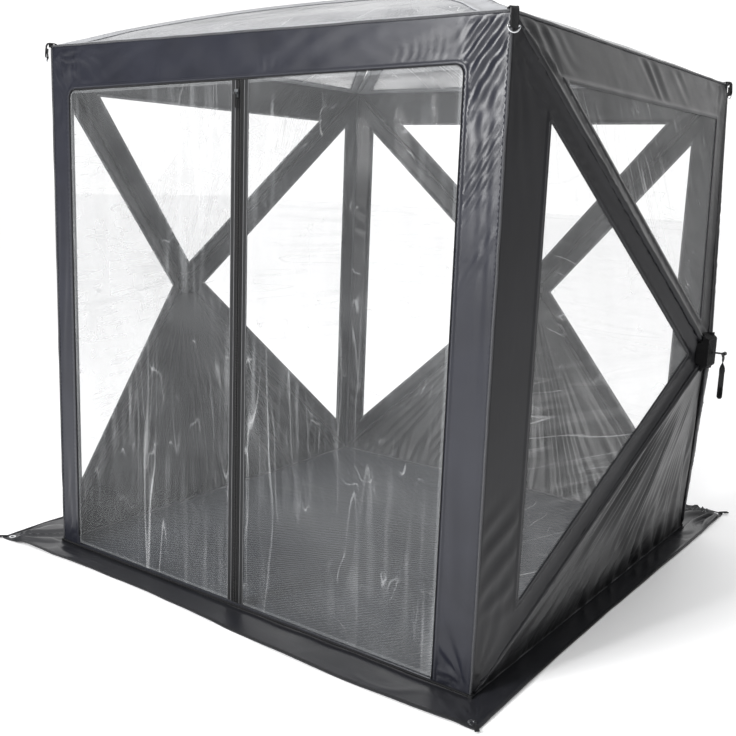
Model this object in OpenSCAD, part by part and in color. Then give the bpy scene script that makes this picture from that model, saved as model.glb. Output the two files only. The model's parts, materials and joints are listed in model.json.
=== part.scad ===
// Pop-up growing shelter: three sprung hub walls and a hub roof around a zipped front.
// The origin is the centre of the floor's underside. +X is right, -Y is the front, +Z is up.
// A wall's own frame is u to the right seen from outside, v up and n outward, with its
// centre on the flat plane between the wall's corner seams.

/* [Body] */
// Width of the floor
body_w = 1250; // [1000:10:1500]
// Depth of the floor
body_d = 1250; // [1000:10:1500]
// Height of the top edge
body_h = 1270; // [1000:10:1500]
// How far a wall hub stands out of its flat plane
wall_pop = 200; // [150:5:220]
// How far the roof hub stands above the top edge
roof_pop = 175; // [140:5:200]

/* [Fabric] */
// Thickness of the solids that stand for fabric and film
skin = 3; // [2:0.5:4]
// Depth of the ground flap in front of the body
flap_front = 90; // [60:5:140]
// Depth of the ground flap right of the body
flap_right = 63; // [60:1:140]
// Depth of the ground flap left of the body
flap_left = 140; // [60:5:180]
// Depth of the ground flap behind the body
flap_rear = 200; // [60:5:240]
// Gap between a panel and the edge it hinges on
seam_gap = 8; // [6:1:12]
// Distance that a panel is cut back from each diagonal
sleeve_gap = 36; // [30:1:50]
// Length of each panel's point that is left out round the hub
hub_gap = 95; // [90:1:120]
// Thickness of the bars that stand for the piped edge seams
seam_bar = 5; // [4:0.5:6]

/* [Door] */
// Left edge of the door opening
door_left = -560; // [-580:5:-400]
// Right edge of the door opening
door_right = 535; // [400:5:580]
// Bottom edge of the door opening
door_bottom = 12; // [10:1:60]
// Depth of the fabric band above the door
door_band = 104; // [60:2:200]
// Rise of the door's top edge from its left end to its right end
door_rise = 20; // [0:1:30]
// Width of one zip tape
tape_w = 11.5; // [8:0.5:20]
// Width of one half of the gap between the two zip tapes
zip_half_gap = 0.5; // [0.4:0.1:1]

/* [Hubs and poles] */
// Diameter of a hub
hub_d = 60; // [56:2:80]
// Thickness of a hub
hub_t = 18; // [14:1:24]
// Distance of a pole's pivot from the hub's centre
pivot_r = 22; // [20:1:24]
// Diameter of a pole
pole_d = 8; // [6:0.5:9]
// Gap between a pole's tip and its corner
tip_gap = 36; // [34:1:60]
// Diameter of a pivot pin
pin_d = 3.2; // [2.5:0.1:4]
// Running clearance all round a pin or a bar
run_gap = 0.05; // [0.03:0.01:0.08]

/* [Small parts] */
// Length of the pull stud, from the hub's face to the strap's bar
stud_len = 29; // [28:1:34]
// Length of a pull strap
strap_len = 98; // [60:1:100]
// Width of a pull strap
strap_w = 16; // [12:1:20]
// Inner radius of a guy ring's bow
ring_r = 9; // [8:0.5:14]
// Bore radius of a peg eyelet
eyelet_r = 5; // [4:0.5:6]
// Distance of a peg eyelet from the flap's edges
eyelet_inset = 16; // [14:1:30]

/* [Hidden] */
$fn = 48;

// Walls, by number, and the sides of a wall
RIGHT = 0;
LEFT = 1;
BACK = 2;
ROOF = 3;
U_PLUS = 0;
U_MINUS = 1;
V_PLUS = 2;
V_MINUS = 3;

WALL_POS = [
  [body_w / 2, 0, body_h / 2], [-body_w / 2, 0, body_h / 2], [0, body_d / 2, body_h / 2], [0, 0, body_h]
];
WALL_TURN = [[90, 0, 90], [90, 0, 270], [90, 0, 180], [0, 0, 0]];
HALF_U = [body_d / 2, body_d / 2, body_w / 2, body_w / 2];
HALF_V = [body_h / 2, body_h / 2, body_h / 2, body_d / 2];
POP = [wall_pop, wall_pop, wall_pop, roof_pop];
SIDE_TURN = [90, 270, 180, 0];

flap_low = [-body_w / 2 - flap_left, -body_d / 2 - flap_front];
flap_high = [body_w / 2 + flap_right, body_d / 2 + flap_rear];
flap_corner_r = 6;
eyelet_low = [flap_low[0] + eyelet_inset, flap_low[1] + eyelet_inset];
eyelet_high = [flap_high[0] - eyelet_inset, flap_high[1] - eyelet_inset];
eyelet_rim = 4;
eyelet_t = skin + 1.2;

bar_half = seam_bar / 2;
anchor_out = 5;
anchor_end = 24;
piping_gap = 30;
piping_t = 3;

door_top = body_h - door_band;
door_gap = 3;
tape_t = 5;
front_y = -body_d / 2;

slider_w = 10;
slider_h = 16;
slider_t = 4;
slider_x = -zip_half_gap - slider_w / 2;
slider_z = door_top - 18;
slider_y = front_y - tape_t / 2 - 0.3 - slider_t / 2;
crown_out = 3.6;
crown_bar_r = 1;
lug_t = 1.8;
pull_eye_r = 2.2;
pull_eye_w = 5;
pull_len = 28;
pull_w = 6;

slot_w = pole_d + 1.8;
slot_in = pivot_r - 7.5;
eye_r = 6;
pin_len = 20;
boss_r = 8;
boss_t = 2;
stud_r = 2;
stud_bar_len = 24;
strap_t = 3;
strap_eye_r = 4;
strap_split_gap = 0.5;
strap_split_len = 6;
strap_knob = [18, 6, 5];

loop_w = 14;
loop_t = 2;
loop_bar_x = 12;
loop_bar_z = -26;
loop_eye_r = 3.6;
ring_wire_r = 1.5;

module on_wall(w) {
  translate(WALL_POS[w]) rotate(WALL_TURN[w]) children();
}

module on_corners_xy(x, y) {
  for (sx = [-1, 1], sy = [-1, 1]) translate([sx * x, sy * y, 0]) children();
}

// A box given by its lowest and highest corners
module span(low, high) {
  translate(low) cube(high - low);
}

module floor_sheet() {
  color("#3c4046") span([-body_w / 2 + 2, -body_d / 2 + 2, 0], [body_w / 2 - 2, body_d / 2 - 2, skin]);
}

module flap_outline() {
  r = flap_corner_r;
  wide = flap_high[0] - flap_low[0];
  deep = flap_high[1] - flap_low[1];
  translate([flap_low[0], flap_low[1] + r]) square([wide, deep - 2 * r]);
  translate([flap_low[0] + r, flap_low[1]]) square([wide - 2 * r, deep]);
  for (x = [flap_low[0] + r, flap_high[0] - r], y = [flap_low[1] + r, flap_high[1] - r])
    translate([x, y]) circle(r = r);
}

module at_eyelets() {
  for (x = [eyelet_low[0], eyelet_high[0]], y = [eyelet_low[1], eyelet_high[1]]) translate([x, y, 0]) children();
}

module ground_flap() {
  color("#33363c") difference() {
    linear_extrude(skin) flap_outline();
    span([-body_w / 2 + 2, -body_d / 2 + 2, -1], [body_w / 2 - 2, body_d / 2 - 2, skin + 1]);
    at_eyelets() translate([0, 0, -1]) cylinder(r = eyelet_r + eyelet_rim, h = skin + 2);
  }
}

module peg_eyelets() {
  color("#b9bcc0") at_eyelets() difference() {
    cylinder(r = eyelet_r + eyelet_rim, h = eyelet_t);
    translate([0, 0, -1]) cylinder(r = eyelet_r, h = eyelet_t + 2);
  }
}

// Height of the door opening's top edge at x
function door_top_at(x) = door_top + door_rise * (x - door_left) / (door_right - door_left);

// A plate in the front's plane, t thick, from z = low to a gap under the door's top edge
module front_plate(x0, x1, t, low, gap) {
  translate([0, front_y + t / 2, 0]) rotate([90, 0, 0]) linear_extrude(t) polygon([
    [x0, low], [x1, low], [x1, door_top_at(x1) - gap], [x0, door_top_at(x0) - gap]
  ]);
}

module front_surround() {
  edge_x = body_w / 2 - bar_half;
  color("#3a3d43") difference() {
    span([-edge_x, front_y - skin / 2, skin], [edge_x, front_y + skin / 2, body_h - bar_half]);
    front_plate(door_left, door_right, 2 * skin, door_bottom, 0);
  }
}

// Upright and top bars stop at the corner anchors; the piping lies on the ground flap
module edge_seams() {
  top_x = body_w / 2 - bar_half;
  top_y = body_d / 2 - bar_half;
  foot_x = body_w / 2 - piping_gap;
  foot_y = body_d / 2 - piping_gap;
  color("#26282c") {
    on_corners_xy(body_w / 2, body_d / 2)
      span([-bar_half, -bar_half, anchor_out + skin + 2], [bar_half, bar_half, body_h - bar_half]);
    for (sy = [-1, 1]) translate([0, sy * body_d / 2, body_h])
      cube([2 * top_x, seam_bar, seam_bar], center = true);
    for (sx = [-1, 1]) translate([sx * body_w / 2, 0, body_h])
      cube([seam_bar, 2 * top_y, seam_bar], center = true);
    for (sx = [-1, 1]) translate([sx * body_w / 2, 0, skin + piping_t / 2])
      cube([4, 2 * foot_y, piping_t], center = true);
    translate([0, body_d / 2, skin + piping_t / 2]) cube([2 * foot_x, 4, piping_t], center = true);
  }
}

// A block at each corner, where the pole tips end
module corner_anchors() {
  color("#1d1e20") for (sx = [-1, 1], sy = [-1, 1])
    translate([sx * body_w / 2, sy * body_d / 2, 0])
      scale_by_sign(sx, sy) {
        span([-bar_half, -bar_half, skin], [anchor_out, anchor_out, anchor_out + skin + 2]);
        span([-bar_half, -bar_half, body_h - bar_half], [anchor_out, anchor_out, body_h + anchor_out]);
      }
}

// Mirrors a corner's shape so that its +X and +Y face out of the body
module scale_by_sign(sx, sy) {
  mirror([sx < 0 ? 1 : 0, 0, 0]) mirror([0, sy < 0 ? 1 : 0, 0]) children();
}

// Turns a shape whose +X points out so that it points out along a corner's diagonal
module on_top_corner(sx, sy) {
  translate([sx * body_w / 2, sy * body_d / 2, body_h]) rotate([0, 0, atan2(sy, sx)]) children();
}

// Webbing: over the anchor's top, down outside it and round the ring's bar
module guy_loop() {
  top_z = anchor_out + loop_t;
  out_x = loop_bar_x + loop_t / 2;
  in_x = loop_bar_x - loop_t / 2;
  difference() {
    union() {
      translate([0, loop_w / 2, 0]) rotate([90, 0, 0]) linear_extrude(loop_w) polygon([
        [-bar_half, anchor_out], [in_x, anchor_out], [in_x, loop_bar_z + 1],
        [out_x, loop_bar_z + 1], [out_x, top_z], [-bar_half, top_z]
      ]);
      translate([loop_bar_x, 0, loop_bar_z]) rotate([90, 0, 0])
        cylinder(r = loop_eye_r, h = loop_w, center = true);
    }
    translate([loop_bar_x, 0, loop_bar_z]) rotate([90, 0, 0])
      cylinder(r = ring_wire_r + run_gap, h = loop_w + 2, center = true);
  }
}

module guy_loops() {
  color("#1b1c1e") for (sx = [-1, 1], sy = [-1, 1]) on_top_corner(sx, sy) guy_loop();
}

// A D ring: a straight bar through the loop and a half-round bow below it
module guy_ring(sx, sy) {
  bow_r = ring_r + ring_wire_r;
  color("#c9ccd0") on_top_corner(sx, sy) translate([loop_bar_x, 0, loop_bar_z]) {
    rotate([90, 0, 0]) cylinder(r = ring_wire_r, h = 2 * bow_r, center = true);
    rotate([90, 180, 90]) rotate_extrude(angle = 180) translate([bow_r, 0]) circle(r = ring_wire_r);
  }
}

// Film plate with its half of the zip along the free edge; sx is -1 on the left, 1 on the right
module door_flap(hinge_x, sx) {
  low = door_bottom + door_gap;
  tape_in = sx * zip_half_gap;
  tape_out = sx * (zip_half_gap + tape_w);
  edge = hinge_x - sx * door_gap;
  color("#c8d0d6", 0.35) {
    front_plate(min(tape_out, edge), max(tape_out, edge), skin, low, door_gap);
    front_plate(min(tape_in, tape_out), max(tape_in, tape_out), tape_t, low, door_gap);
  }
}

// Slider body with two lugs that carry the crown bar
module zip_slider() {
  face_y = slider_y - slider_t / 2;
  bar_y = face_y - crown_out;
  color("#101112") translate([slider_x, 0, slider_z]) {
    translate([0, slider_y, 0]) cube([slider_w, slider_t, slider_h], center = true);
    for (side = [-1, 1]) translate([side * (slider_w - lug_t) / 2, (face_y + bar_y) / 2 - 0.5, 0])
      cube([lug_t, crown_out + 1, 4], center = true);
    translate([0, bar_y, 0]) rotate([0, 90, 0]) cylinder(r = crown_bar_r, h = slider_w, center = true);
  }
}

module zip_pull() {
  bar_y = slider_y - slider_t / 2 - crown_out;
  color("#101112") translate([slider_x, bar_y, slider_z]) difference() {
    union() {
      rotate([0, 90, 0]) cylinder(r = pull_eye_r, h = pull_eye_w, center = true);
      translate([0, 0, -pull_len / 2]) cube([pull_eye_w, 1.6, pull_len], center = true);
      translate([0, 0, -pull_len + 4]) cube([pull_w, 2.2, 12], center = true);
    }
    rotate([0, 90, 0]) cylinder(r = crown_bar_r + run_gap, h = pull_w + 2, center = true);
  }
}

// A flat panel that hinges on one border seam and leans out to the hub
module panel(w, side) {
  along = side < V_PLUS ? HALF_V[w] : HALF_U[w];
  reach = side < V_PLUS ? HALF_U[w] : HALF_V[w];
  slant = sqrt(reach * reach + POP[w] * POP[w]);
  run = sqrt(slant * slant + along * along);
  tilt = atan(POP[w] / reach);
  inner = slant - hub_gap;
  base_half = along - (sleeve_gap * run + along * seam_gap) / slant;
  inner_half = along - (sleeve_gap * run + along * inner) / slant;
  on_wall(w) rotate([0, 0, SIDE_TURN[side]]) translate([0, -reach, 0]) rotate([tilt, 0, 0])
    linear_extrude(skin, center = true) polygon([
      [-base_half, seam_gap], [base_half, seam_gap], [inner_half, inner], [-inner_half, inner]
    ]);
}

module film(w, side) {
  color("#d5dbe0", 0.35) panel(w, side);
}

module cloth(w, side) {
  color("#34373d") panel(w, side);
}

// The four directions from a hub to its wall's corners
module to_corner(w, su, sv) {
  rotate([0, 0, atan2(sv * HALF_V[w], su * HALF_U[w])]) children();
}

module at_pivots(w) {
  translate([0, 0, POP[w]]) for (su = [-1, 1], sv = [-1, 1])
    to_corner(w, su, sv) translate([pivot_r, 0, 0]) children();
}

// A round hub with four open slots, and a stud with a bar that the pull strap hangs on.
// The stud is on the outside of a wall and on the inside of the roof.
module hub(w) {
  flip = w == ROOF ? 180 : 0;
  color("#17181a") on_wall(w) {
    difference() {
      translate([0, 0, POP[w]]) cylinder(d = hub_d, h = hub_t, center = true);
      at_pivots(w) {
        translate([slot_in - pivot_r, -slot_w / 2, -hub_t]) cube([hub_d, slot_w, 2 * hub_t]);
        rotate([90, 0, 0]) cylinder(d = pin_d, h = pin_len, center = true);
      }
    }
    translate([0, 0, POP[w]]) rotate([flip, 0, 0]) {
      translate([0, 0, hub_t / 2]) cylinder(r = boss_r, h = boss_t);
      translate([0, 0, hub_t / 2]) cylinder(r = stud_r, h = stud_len);
      translate([0, 0, hub_t / 2 + stud_len]) rotate([0, 90, 0])
        cylinder(r = stud_r, h = stud_bar_len, center = true);
    }
  }
}

module hub_pins(w) {
  color("#a6a9ad") on_wall(w) at_pivots(w) rotate([90, 0, 0]) cylinder(d = pin_d, h = pin_len, center = true);
}

// A pole with an eye end on its pivot pin; it slopes from the hub to its corner
module pole(w, su, sv) {
  far = sqrt(HALF_U[w] * HALF_U[w] + HALF_V[w] * HALF_V[w]) - pivot_r;
  slope = atan(POP[w] / far);
  length = sqrt(far * far + POP[w] * POP[w]) - tip_gap;
  color("#25272a") on_wall(w) translate([0, 0, POP[w]]) to_corner(w, su, sv)
    translate([pivot_r, 0, 0]) rotate([0, slope, 0]) difference() {
      union() {
        rotate([90, 0, 0]) cylinder(r = eye_r, h = pole_d, center = true);
        rotate([0, 90, 0]) cylinder(d = pole_d, h = length);
      }
      rotate([90, 0, 0]) cylinder(r = pin_d / 2 + run_gap, h = pole_d + 2, center = true);
    }
}

// Webbing that hangs from the stud's bar and ends in a folded grip.
// Its eye is split in the middle, so that the stud passes between the two halves.
module strap_body() {
  difference() {
    union() {
      rotate([0, 90, 0]) cylinder(r = strap_eye_r, h = strap_w, center = true);
      translate([0, -strap_len / 2, 0]) cube([strap_w, strap_len, strap_t], center = true);
      translate([0, -strap_len, 0]) cube(strap_knob, center = true);
    }
    rotate([0, 90, 0]) cylinder(r = stud_r + run_gap, h = strap_w + 2, center = true);
    cube([2 * (stud_r + strap_split_gap), 2 * strap_split_len, 3 * strap_eye_r], center = true);
  }
}

module pull_strap(w) {
  out = hub_t / 2 + stud_len;
  color("#141516") on_wall(w) {
    if (w == ROOF) translate([0, 0, POP[w] - out]) rotate([90, 0, 0]) strap_body();
    else translate([0, 0, POP[w] + out]) strap_body();
  }
}

floor_sheet();
ground_flap();
peg_eyelets();
front_surround();
edge_seams();
corner_anchors();
guy_loops();
door_flap(door_left, -1);  // left_door_flap
door_flap(door_right, 1);  // right_door_flap
zip_slider();
zip_pull();
guy_ring(-1, -1);  // front_left_guy_ring
guy_ring(1, -1);  // front_right_guy_ring
guy_ring(-1, 1);  // rear_left_guy_ring
guy_ring(1, 1);  // rear_right_guy_ring

hub(RIGHT);  // right_hub
hub_pins(RIGHT);  // right_hub_pins
pull_strap(RIGHT);  // right_pull_strap
film(RIGHT, U_MINUS);  // right_front_window
film(RIGHT, V_PLUS);  // right_top_window
film(RIGHT, U_PLUS);  // right_rear_window
cloth(RIGHT, V_MINUS);  // right_lower_panel
pole(RIGHT, -1, 1);  // right_upper_front_pole
pole(RIGHT, 1, 1);  // right_upper_rear_pole
pole(RIGHT, -1, -1);  // right_lower_front_pole
pole(RIGHT, 1, -1);  // right_lower_rear_pole

hub(LEFT);  // left_hub
hub_pins(LEFT);  // left_hub_pins
pull_strap(LEFT);  // left_pull_strap
film(LEFT, U_PLUS);  // left_front_window
film(LEFT, V_PLUS);  // left_top_window
film(LEFT, U_MINUS);  // left_rear_window
cloth(LEFT, V_MINUS);  // left_lower_panel
pole(LEFT, 1, 1);  // left_upper_front_pole
pole(LEFT, -1, 1);  // left_upper_rear_pole
pole(LEFT, 1, -1);  // left_lower_front_pole
pole(LEFT, -1, -1);  // left_lower_rear_pole

hub(BACK);  // back_hub
hub_pins(BACK);  // back_hub_pins
pull_strap(BACK);  // back_pull_strap
film(BACK, U_MINUS);  // back_right_window
film(BACK, V_PLUS);  // back_top_window
film(BACK, U_PLUS);  // back_left_window
cloth(BACK, V_MINUS);  // back_lower_panel
pole(BACK, -1, 1);  // back_upper_right_pole
pole(BACK, 1, 1);  // back_upper_left_pole
pole(BACK, -1, -1);  // back_lower_right_pole
pole(BACK, 1, -1);  // back_lower_left_pole

hub(ROOF);  // roof_hub
hub_pins(ROOF);  // roof_hub_pins
pull_strap(ROOF);  // roof_pull_strap
film(ROOF, V_MINUS);  // roof_front_pane
film(ROOF, V_PLUS);  // roof_rear_pane
film(ROOF, U_MINUS);  // roof_left_pane
film(ROOF, U_PLUS);  // roof_right_pane
pole(ROOF, 1, -1);  // roof_front_right_pole
pole(ROOF, -1, -1);  // roof_front_left_pole
pole(ROOF, 1, 1);  // roof_rear_right_pole
pole(ROOF, -1, 1);  // roof_rear_left_pole
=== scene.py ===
"""Looks for the pop-up growing shelter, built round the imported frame. Metres, +Z up, -Y is the front."""

import json
import math

import bmesh
import bpy
import numpy as np
from mathutils import Matrix, Vector
from mathutils.geometry import delaunay_2d_cdt

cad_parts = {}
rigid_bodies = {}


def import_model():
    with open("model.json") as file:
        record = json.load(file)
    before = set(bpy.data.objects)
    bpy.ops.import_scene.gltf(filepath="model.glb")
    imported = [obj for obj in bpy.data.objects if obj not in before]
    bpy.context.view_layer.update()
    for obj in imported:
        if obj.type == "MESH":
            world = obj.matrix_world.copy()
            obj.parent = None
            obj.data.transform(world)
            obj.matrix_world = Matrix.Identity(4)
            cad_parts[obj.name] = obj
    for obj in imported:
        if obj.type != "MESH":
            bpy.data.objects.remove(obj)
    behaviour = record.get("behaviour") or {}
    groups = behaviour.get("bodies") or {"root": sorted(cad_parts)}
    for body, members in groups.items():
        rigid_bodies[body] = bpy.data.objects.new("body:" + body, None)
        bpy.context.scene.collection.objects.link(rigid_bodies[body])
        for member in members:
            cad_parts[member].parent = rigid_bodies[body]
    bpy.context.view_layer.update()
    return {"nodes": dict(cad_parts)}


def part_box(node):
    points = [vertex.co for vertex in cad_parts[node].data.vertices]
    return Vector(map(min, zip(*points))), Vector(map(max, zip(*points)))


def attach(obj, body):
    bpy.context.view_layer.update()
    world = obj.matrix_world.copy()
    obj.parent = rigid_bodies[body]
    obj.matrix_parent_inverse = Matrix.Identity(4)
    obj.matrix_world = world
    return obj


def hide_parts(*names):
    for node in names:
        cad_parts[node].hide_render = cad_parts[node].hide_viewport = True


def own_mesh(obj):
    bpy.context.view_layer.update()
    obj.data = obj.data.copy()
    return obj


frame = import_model()

# ---------------------------------------------------------------- camera
CAMERA_AT = (1.4363, -2.1451, 0.9827)
CAMERA_YAW = 0.6195
CAMERA_DIP = 0.194
CAMERA_ROLL = 0.037
SENSOR = 36.0
FOCAL_SHARE = 1.3065  # focal length as a share of the frame's width


def make_camera():
    """Camera at the photographed angle: turned left by YAW from +Y, dipped, and rolled a little."""
    ahead = Vector((
        -math.sin(CAMERA_YAW) * math.cos(CAMERA_DIP),
        math.cos(CAMERA_YAW) * math.cos(CAMERA_DIP),
        -math.sin(CAMERA_DIP),
    ))
    flat_right = Vector((math.cos(CAMERA_YAW), math.sin(CAMERA_YAW), 0))
    flat_up = flat_right.cross(ahead)
    right = flat_right * math.cos(CAMERA_ROLL) + flat_up * math.sin(CAMERA_ROLL)
    up = flat_up * math.cos(CAMERA_ROLL) - flat_right * math.sin(CAMERA_ROLL)
    data = bpy.data.cameras.new("camera")
    data.sensor_width = SENSOR
    data.lens = SENSOR * FOCAL_SHARE
    data.clip_end = 200
    cam = bpy.data.objects.new("camera", data)
    cam.matrix_world = Matrix.Translation(CAMERA_AT) @ Matrix((right, up, -ahead)).transposed().to_4x4()
    bpy.context.scene.collection.objects.link(cam)
    bpy.context.scene.camera = cam


make_camera()

# ---------------------------------------------------------------- sizes, from the frame
SEAM_BAR = 0.005
DOOR_GAP = 0.003
seams_lo, seams_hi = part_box("edge_seams")
HALF_W = seams_hi.x - SEAM_BAR / 2
HALF_D = -(seams_lo.y + SEAM_BAR / 2)
HEIGHT = seams_hi.z - SEAM_BAR / 2
DOOR_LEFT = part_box("left_door_flap")[0].x - DOOR_GAP
DOOR_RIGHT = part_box("right_door_flap")[1].x + DOOR_GAP
DOOR_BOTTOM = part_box("left_door_flap")[0].z - DOOR_GAP
mid_top, right_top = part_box("left_door_flap")[1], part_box("right_door_flap")[1]
DOOR_CLIMB = (right_top.z - mid_top.z) / (right_top.x - mid_top.x)  # slope of the door's top edge
DOOR_TOP = mid_top.z + DOOR_GAP - DOOR_CLIMB * (mid_top.x - DOOR_LEFT)  # at its left end
FLAP_LOW, FLAP_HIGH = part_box("ground_flap")
PIVOT_R = 0.022
HUB_HALF = 0.009

CLOTH_T = 0.0006  # thickness of the shell fabric
SLEEVE = 0.050  # half of a diagonal sleeve's width
HEM = 0.009  # width of the turned hem round a window
LIP = 0.0008  # how far that hem stands up
HUB_CUT = 0.0315  # where a panel's point stops, from the hub's centre
STEP = 0.008  # mesh spacing
OVER_POLE = 0.0045  # how far a panel's edge is lifted by the pole along it
EYELET_IN = 0.016  # an eyelet's distance from the flap's edges
ROUND_CORNER = 0.018  # radius of the door opening's two top corners
NO_SEAM = 9.0  # a distance from the seam that no stitching reaches
STITCH_IN = 0.0055  # the hem's stitching, from the hem's edge
THREAD_R = 0.00055  # half of a thread's width
COVER_SEAM = 0.0285  # a hub cover's stitched square, from its middle
WELD = 0.0065  # width of the welded rim of a door film
FADE = 0.02  # over which a fold fades out


# ---------------------------------------------------------------- noise and folds
def lattice(ix, iy, seed):
    """A repeatable random number from 0 to 1 for each lattice point."""
    h = (ix.astype(np.int64) * 374761393 + iy.astype(np.int64) * 668265263 + seed * 974711) & 0xFFFFFFFF
    h = ((h ^ (h >> 13)) * 1274126177) & 0xFFFFFFFF
    return ((h ^ (h >> 16)) & 0xFFFF) / 65535.0


def noise(x, y, seed=0):
    """Smooth value noise from -1 to 1."""
    x, y = np.asarray(x, float), np.asarray(y, float)
    ix, iy = np.floor(x), np.floor(y)
    fx, fy = x - ix, y - iy
    fx, fy = fx * fx * (3 - 2 * fx), fy * fy * (3 - 2 * fy)
    low = lattice(ix, iy, seed) * (1 - fx) + lattice(ix + 1, iy, seed) * fx
    high = lattice(ix, iy + 1, seed) * (1 - fx) + lattice(ix + 1, iy + 1, seed) * fx
    return 2 * (low * (1 - fy) + high * fy) - 1


def ease(x):
    """0 below 0, 1 above 1, smooth between."""
    t = np.clip(x, 0, 1)
    return t * t * (3 - 2 * t)


def folds(along, across, wave, seed, run=0.25, sharp=0.5):
    """Long folds whose crests run along one direction, about wave apart, and wander and fade as they go."""
    wander = noise(along / run, across / (3 * wave), seed)
    phase = 2 * math.pi * (across / wave + 0.9 * wander)
    crest = 1 - np.abs(np.sin(phase / 2)) * 2
    soft = np.cos(phase)
    gate = ease(0.55 + 0.9 * noise(along / (0.8 * run), across / (1.7 * wave), seed + 7))
    return gate * (sharp * crest + (1 - sharp) * soft)


def fan(x, y, cx, cy, count, reach, seed, inner=0.0):
    """Gathers that radiate from one point and fade by reach."""
    dx, dy = x - cx, y - cy
    r = np.hypot(dx, dy)
    theta = np.arctan2(dy, dx)
    wobble = 0.35 * noise(r / 0.12, theta * 3, seed)
    return np.sin(count * (theta + wobble) + seed) * np.exp(-r / reach) * ease((r - inner) / 0.03)


# ---------------------------------------------------------------- mesh building
class Cloth:
    """Grids of points that become one mesh. Each point has a place on the weave and one on its seam."""

    def __init__(self):
        self.points, self.weave, self.seam, self.faces, self.slots = [], [], [], [], []
        self.count = 0

    def grid(self, points, weave, seam=None, slot=0):
        rows, cols = points.shape[:2]
        index = self.count + np.arange(rows * cols).reshape(rows, cols)
        quads = np.stack([index[:-1, :-1], index[:-1, 1:], index[1:, 1:], index[1:, :-1]], -1).reshape(-1, 4)
        self.points.append(points.reshape(-1, 3))
        self.weave.append(weave.reshape(-1, 2))
        self.seam.append(np.full((rows * cols, 2), NO_SEAM) if seam is None else seam.reshape(-1, 2))
        self.faces.extend(quads.tolist())
        self.slots.extend([slot] * len(quads))
        self.count += rows * cols

    def triangles(self, points, weave, seam, faces, slot=0):
        self.points.append(points)
        self.weave.append(weave)
        self.seam.append(np.full((len(points), 2), NO_SEAM) if seam is None else seam)
        self.faces.extend((faces + self.count).tolist())
        self.slots.extend([slot] * len(faces))
        self.count += len(points)

    def loose(self, points):
        """Adds points that have no place on the weave, and returns the first one's number."""
        start = self.count
        self.points.append(points)
        self.weave.append(np.zeros((len(points), 2)))
        self.seam.append(np.full((len(points), 2), NO_SEAM))
        self.count += len(points)
        return start

    def build(self, name, materials, weld=True):
        mesh = bpy.data.meshes.new(name)
        faces = [tuple(dict.fromkeys(f)) for f in self.faces]
        mesh.from_pydata(np.concatenate(self.points).tolist(), [], faces)
        corner = np.zeros(len(mesh.loops), np.int32)
        mesh.loops.foreach_get("vertex_index", corner)
        for label, values in (("weave", self.weave), ("seam", self.seam)):
            layer = mesh.uv_layers.new(name=label)
            layer.data.foreach_set("uv", np.concatenate(values)[corner].astype(np.float32).ravel())
        mesh.polygons.foreach_set("material_index", np.array(self.slots, np.int32))
        for m in materials if isinstance(materials, (list, tuple)) else [materials]:
            mesh.materials.append(m)
        if weld:
            bm = bmesh.new()
            bm.from_mesh(mesh)
            bmesh.ops.remove_doubles(bm, verts=bm.verts, dist=0.00004)
            bmesh.ops.dissolve_degenerate(bm, edges=bm.edges, dist=0.00002)
            bm.to_mesh(mesh)
            bm.free()
        mesh.polygons.foreach_set("use_smooth", np.ones(len(mesh.polygons), bool))
        obj = bpy.data.objects.new(name, mesh)
        bpy.context.scene.collection.objects.link(obj)
        return obj


def solidify(obj, thickness=CLOTH_T):
    shell = obj.modifiers.new("cloth", "SOLIDIFY")
    shell.thickness = thickness
    shell.offset = 0
    return obj


def place(obj, body, replaces=()):
    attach(obj, body)
    if replaces:
        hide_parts(*replaces)
    return obj


def steps(length, step=STEP, least=2):
    return max(least, int(round(length / step)) + 1)


def stitched(loops, inside, spacing):
    """Triangles that follow every closed outline exactly, on a staggered grid of points between them."""
    points, edges, walls = [], [], []
    for loop in loops:
        start = len(points)
        corners = [np.array(c, float) for c in loop]
        for a, b in zip(corners, corners[1:] + corners[:1]):
            n = max(1, int(round(np.linalg.norm(b - a) / spacing)))
            points.extend(a + (b - a) * k / n for k in range(n))
            walls.append((a, b))
        last = len(points)
        edges.extend((i, i + 1 if i + 1 < last else start) for i in range(start, last))
    low, high = np.min(points, 0), np.max(points, 0)
    rows = np.arange(low[1], high[1], spacing * 0.87)
    cols = np.arange(low[0], high[0], spacing)
    x, y = np.meshgrid(cols, rows)
    x = x + (np.arange(len(rows)) % 2)[:, None] * spacing / 2
    grid = np.stack([x.ravel(), y.ravel()], -1)
    clear = np.full(len(grid), 1e9)
    for a, b in walls:
        t = np.clip(((grid - a) @ (b - a)) / max((b - a) @ (b - a), 1e-12), 0, 1)
        clear = np.minimum(clear, np.linalg.norm(grid - a - t[:, None] * (b - a), axis=1))
    grid = grid[(clear > 0.45 * spacing) & inside(grid[:, 0], grid[:, 1])]
    flat = [Vector(p) for p in [*points, *grid]]
    verts, _, faces, _, _, _ = delaunay_2d_cdt(flat, edges, [], 0, 1e-7)
    at = np.array([tuple(v) for v in verts])
    faces = np.array(faces)
    middle = at[faces].mean(1)
    a, b, c = at[faces[:, 0]], at[faces[:, 1]], at[faces[:, 2]]
    turn = (b[:, 0] - a[:, 0]) * (c[:, 1] - a[:, 1]) - (b[:, 1] - a[:, 1]) * (c[:, 0] - a[:, 0])
    faces = np.where((turn < 0)[:, None], faces[:, ::-1], faces)
    faces = faces[inside(middle[:, 0], middle[:, 1]) & (abs(turn) > 1e-10)]
    used, index = np.unique(faces, return_inverse=True)
    return at[used, 0], at[used, 1], index.reshape(-1, 3)


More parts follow.
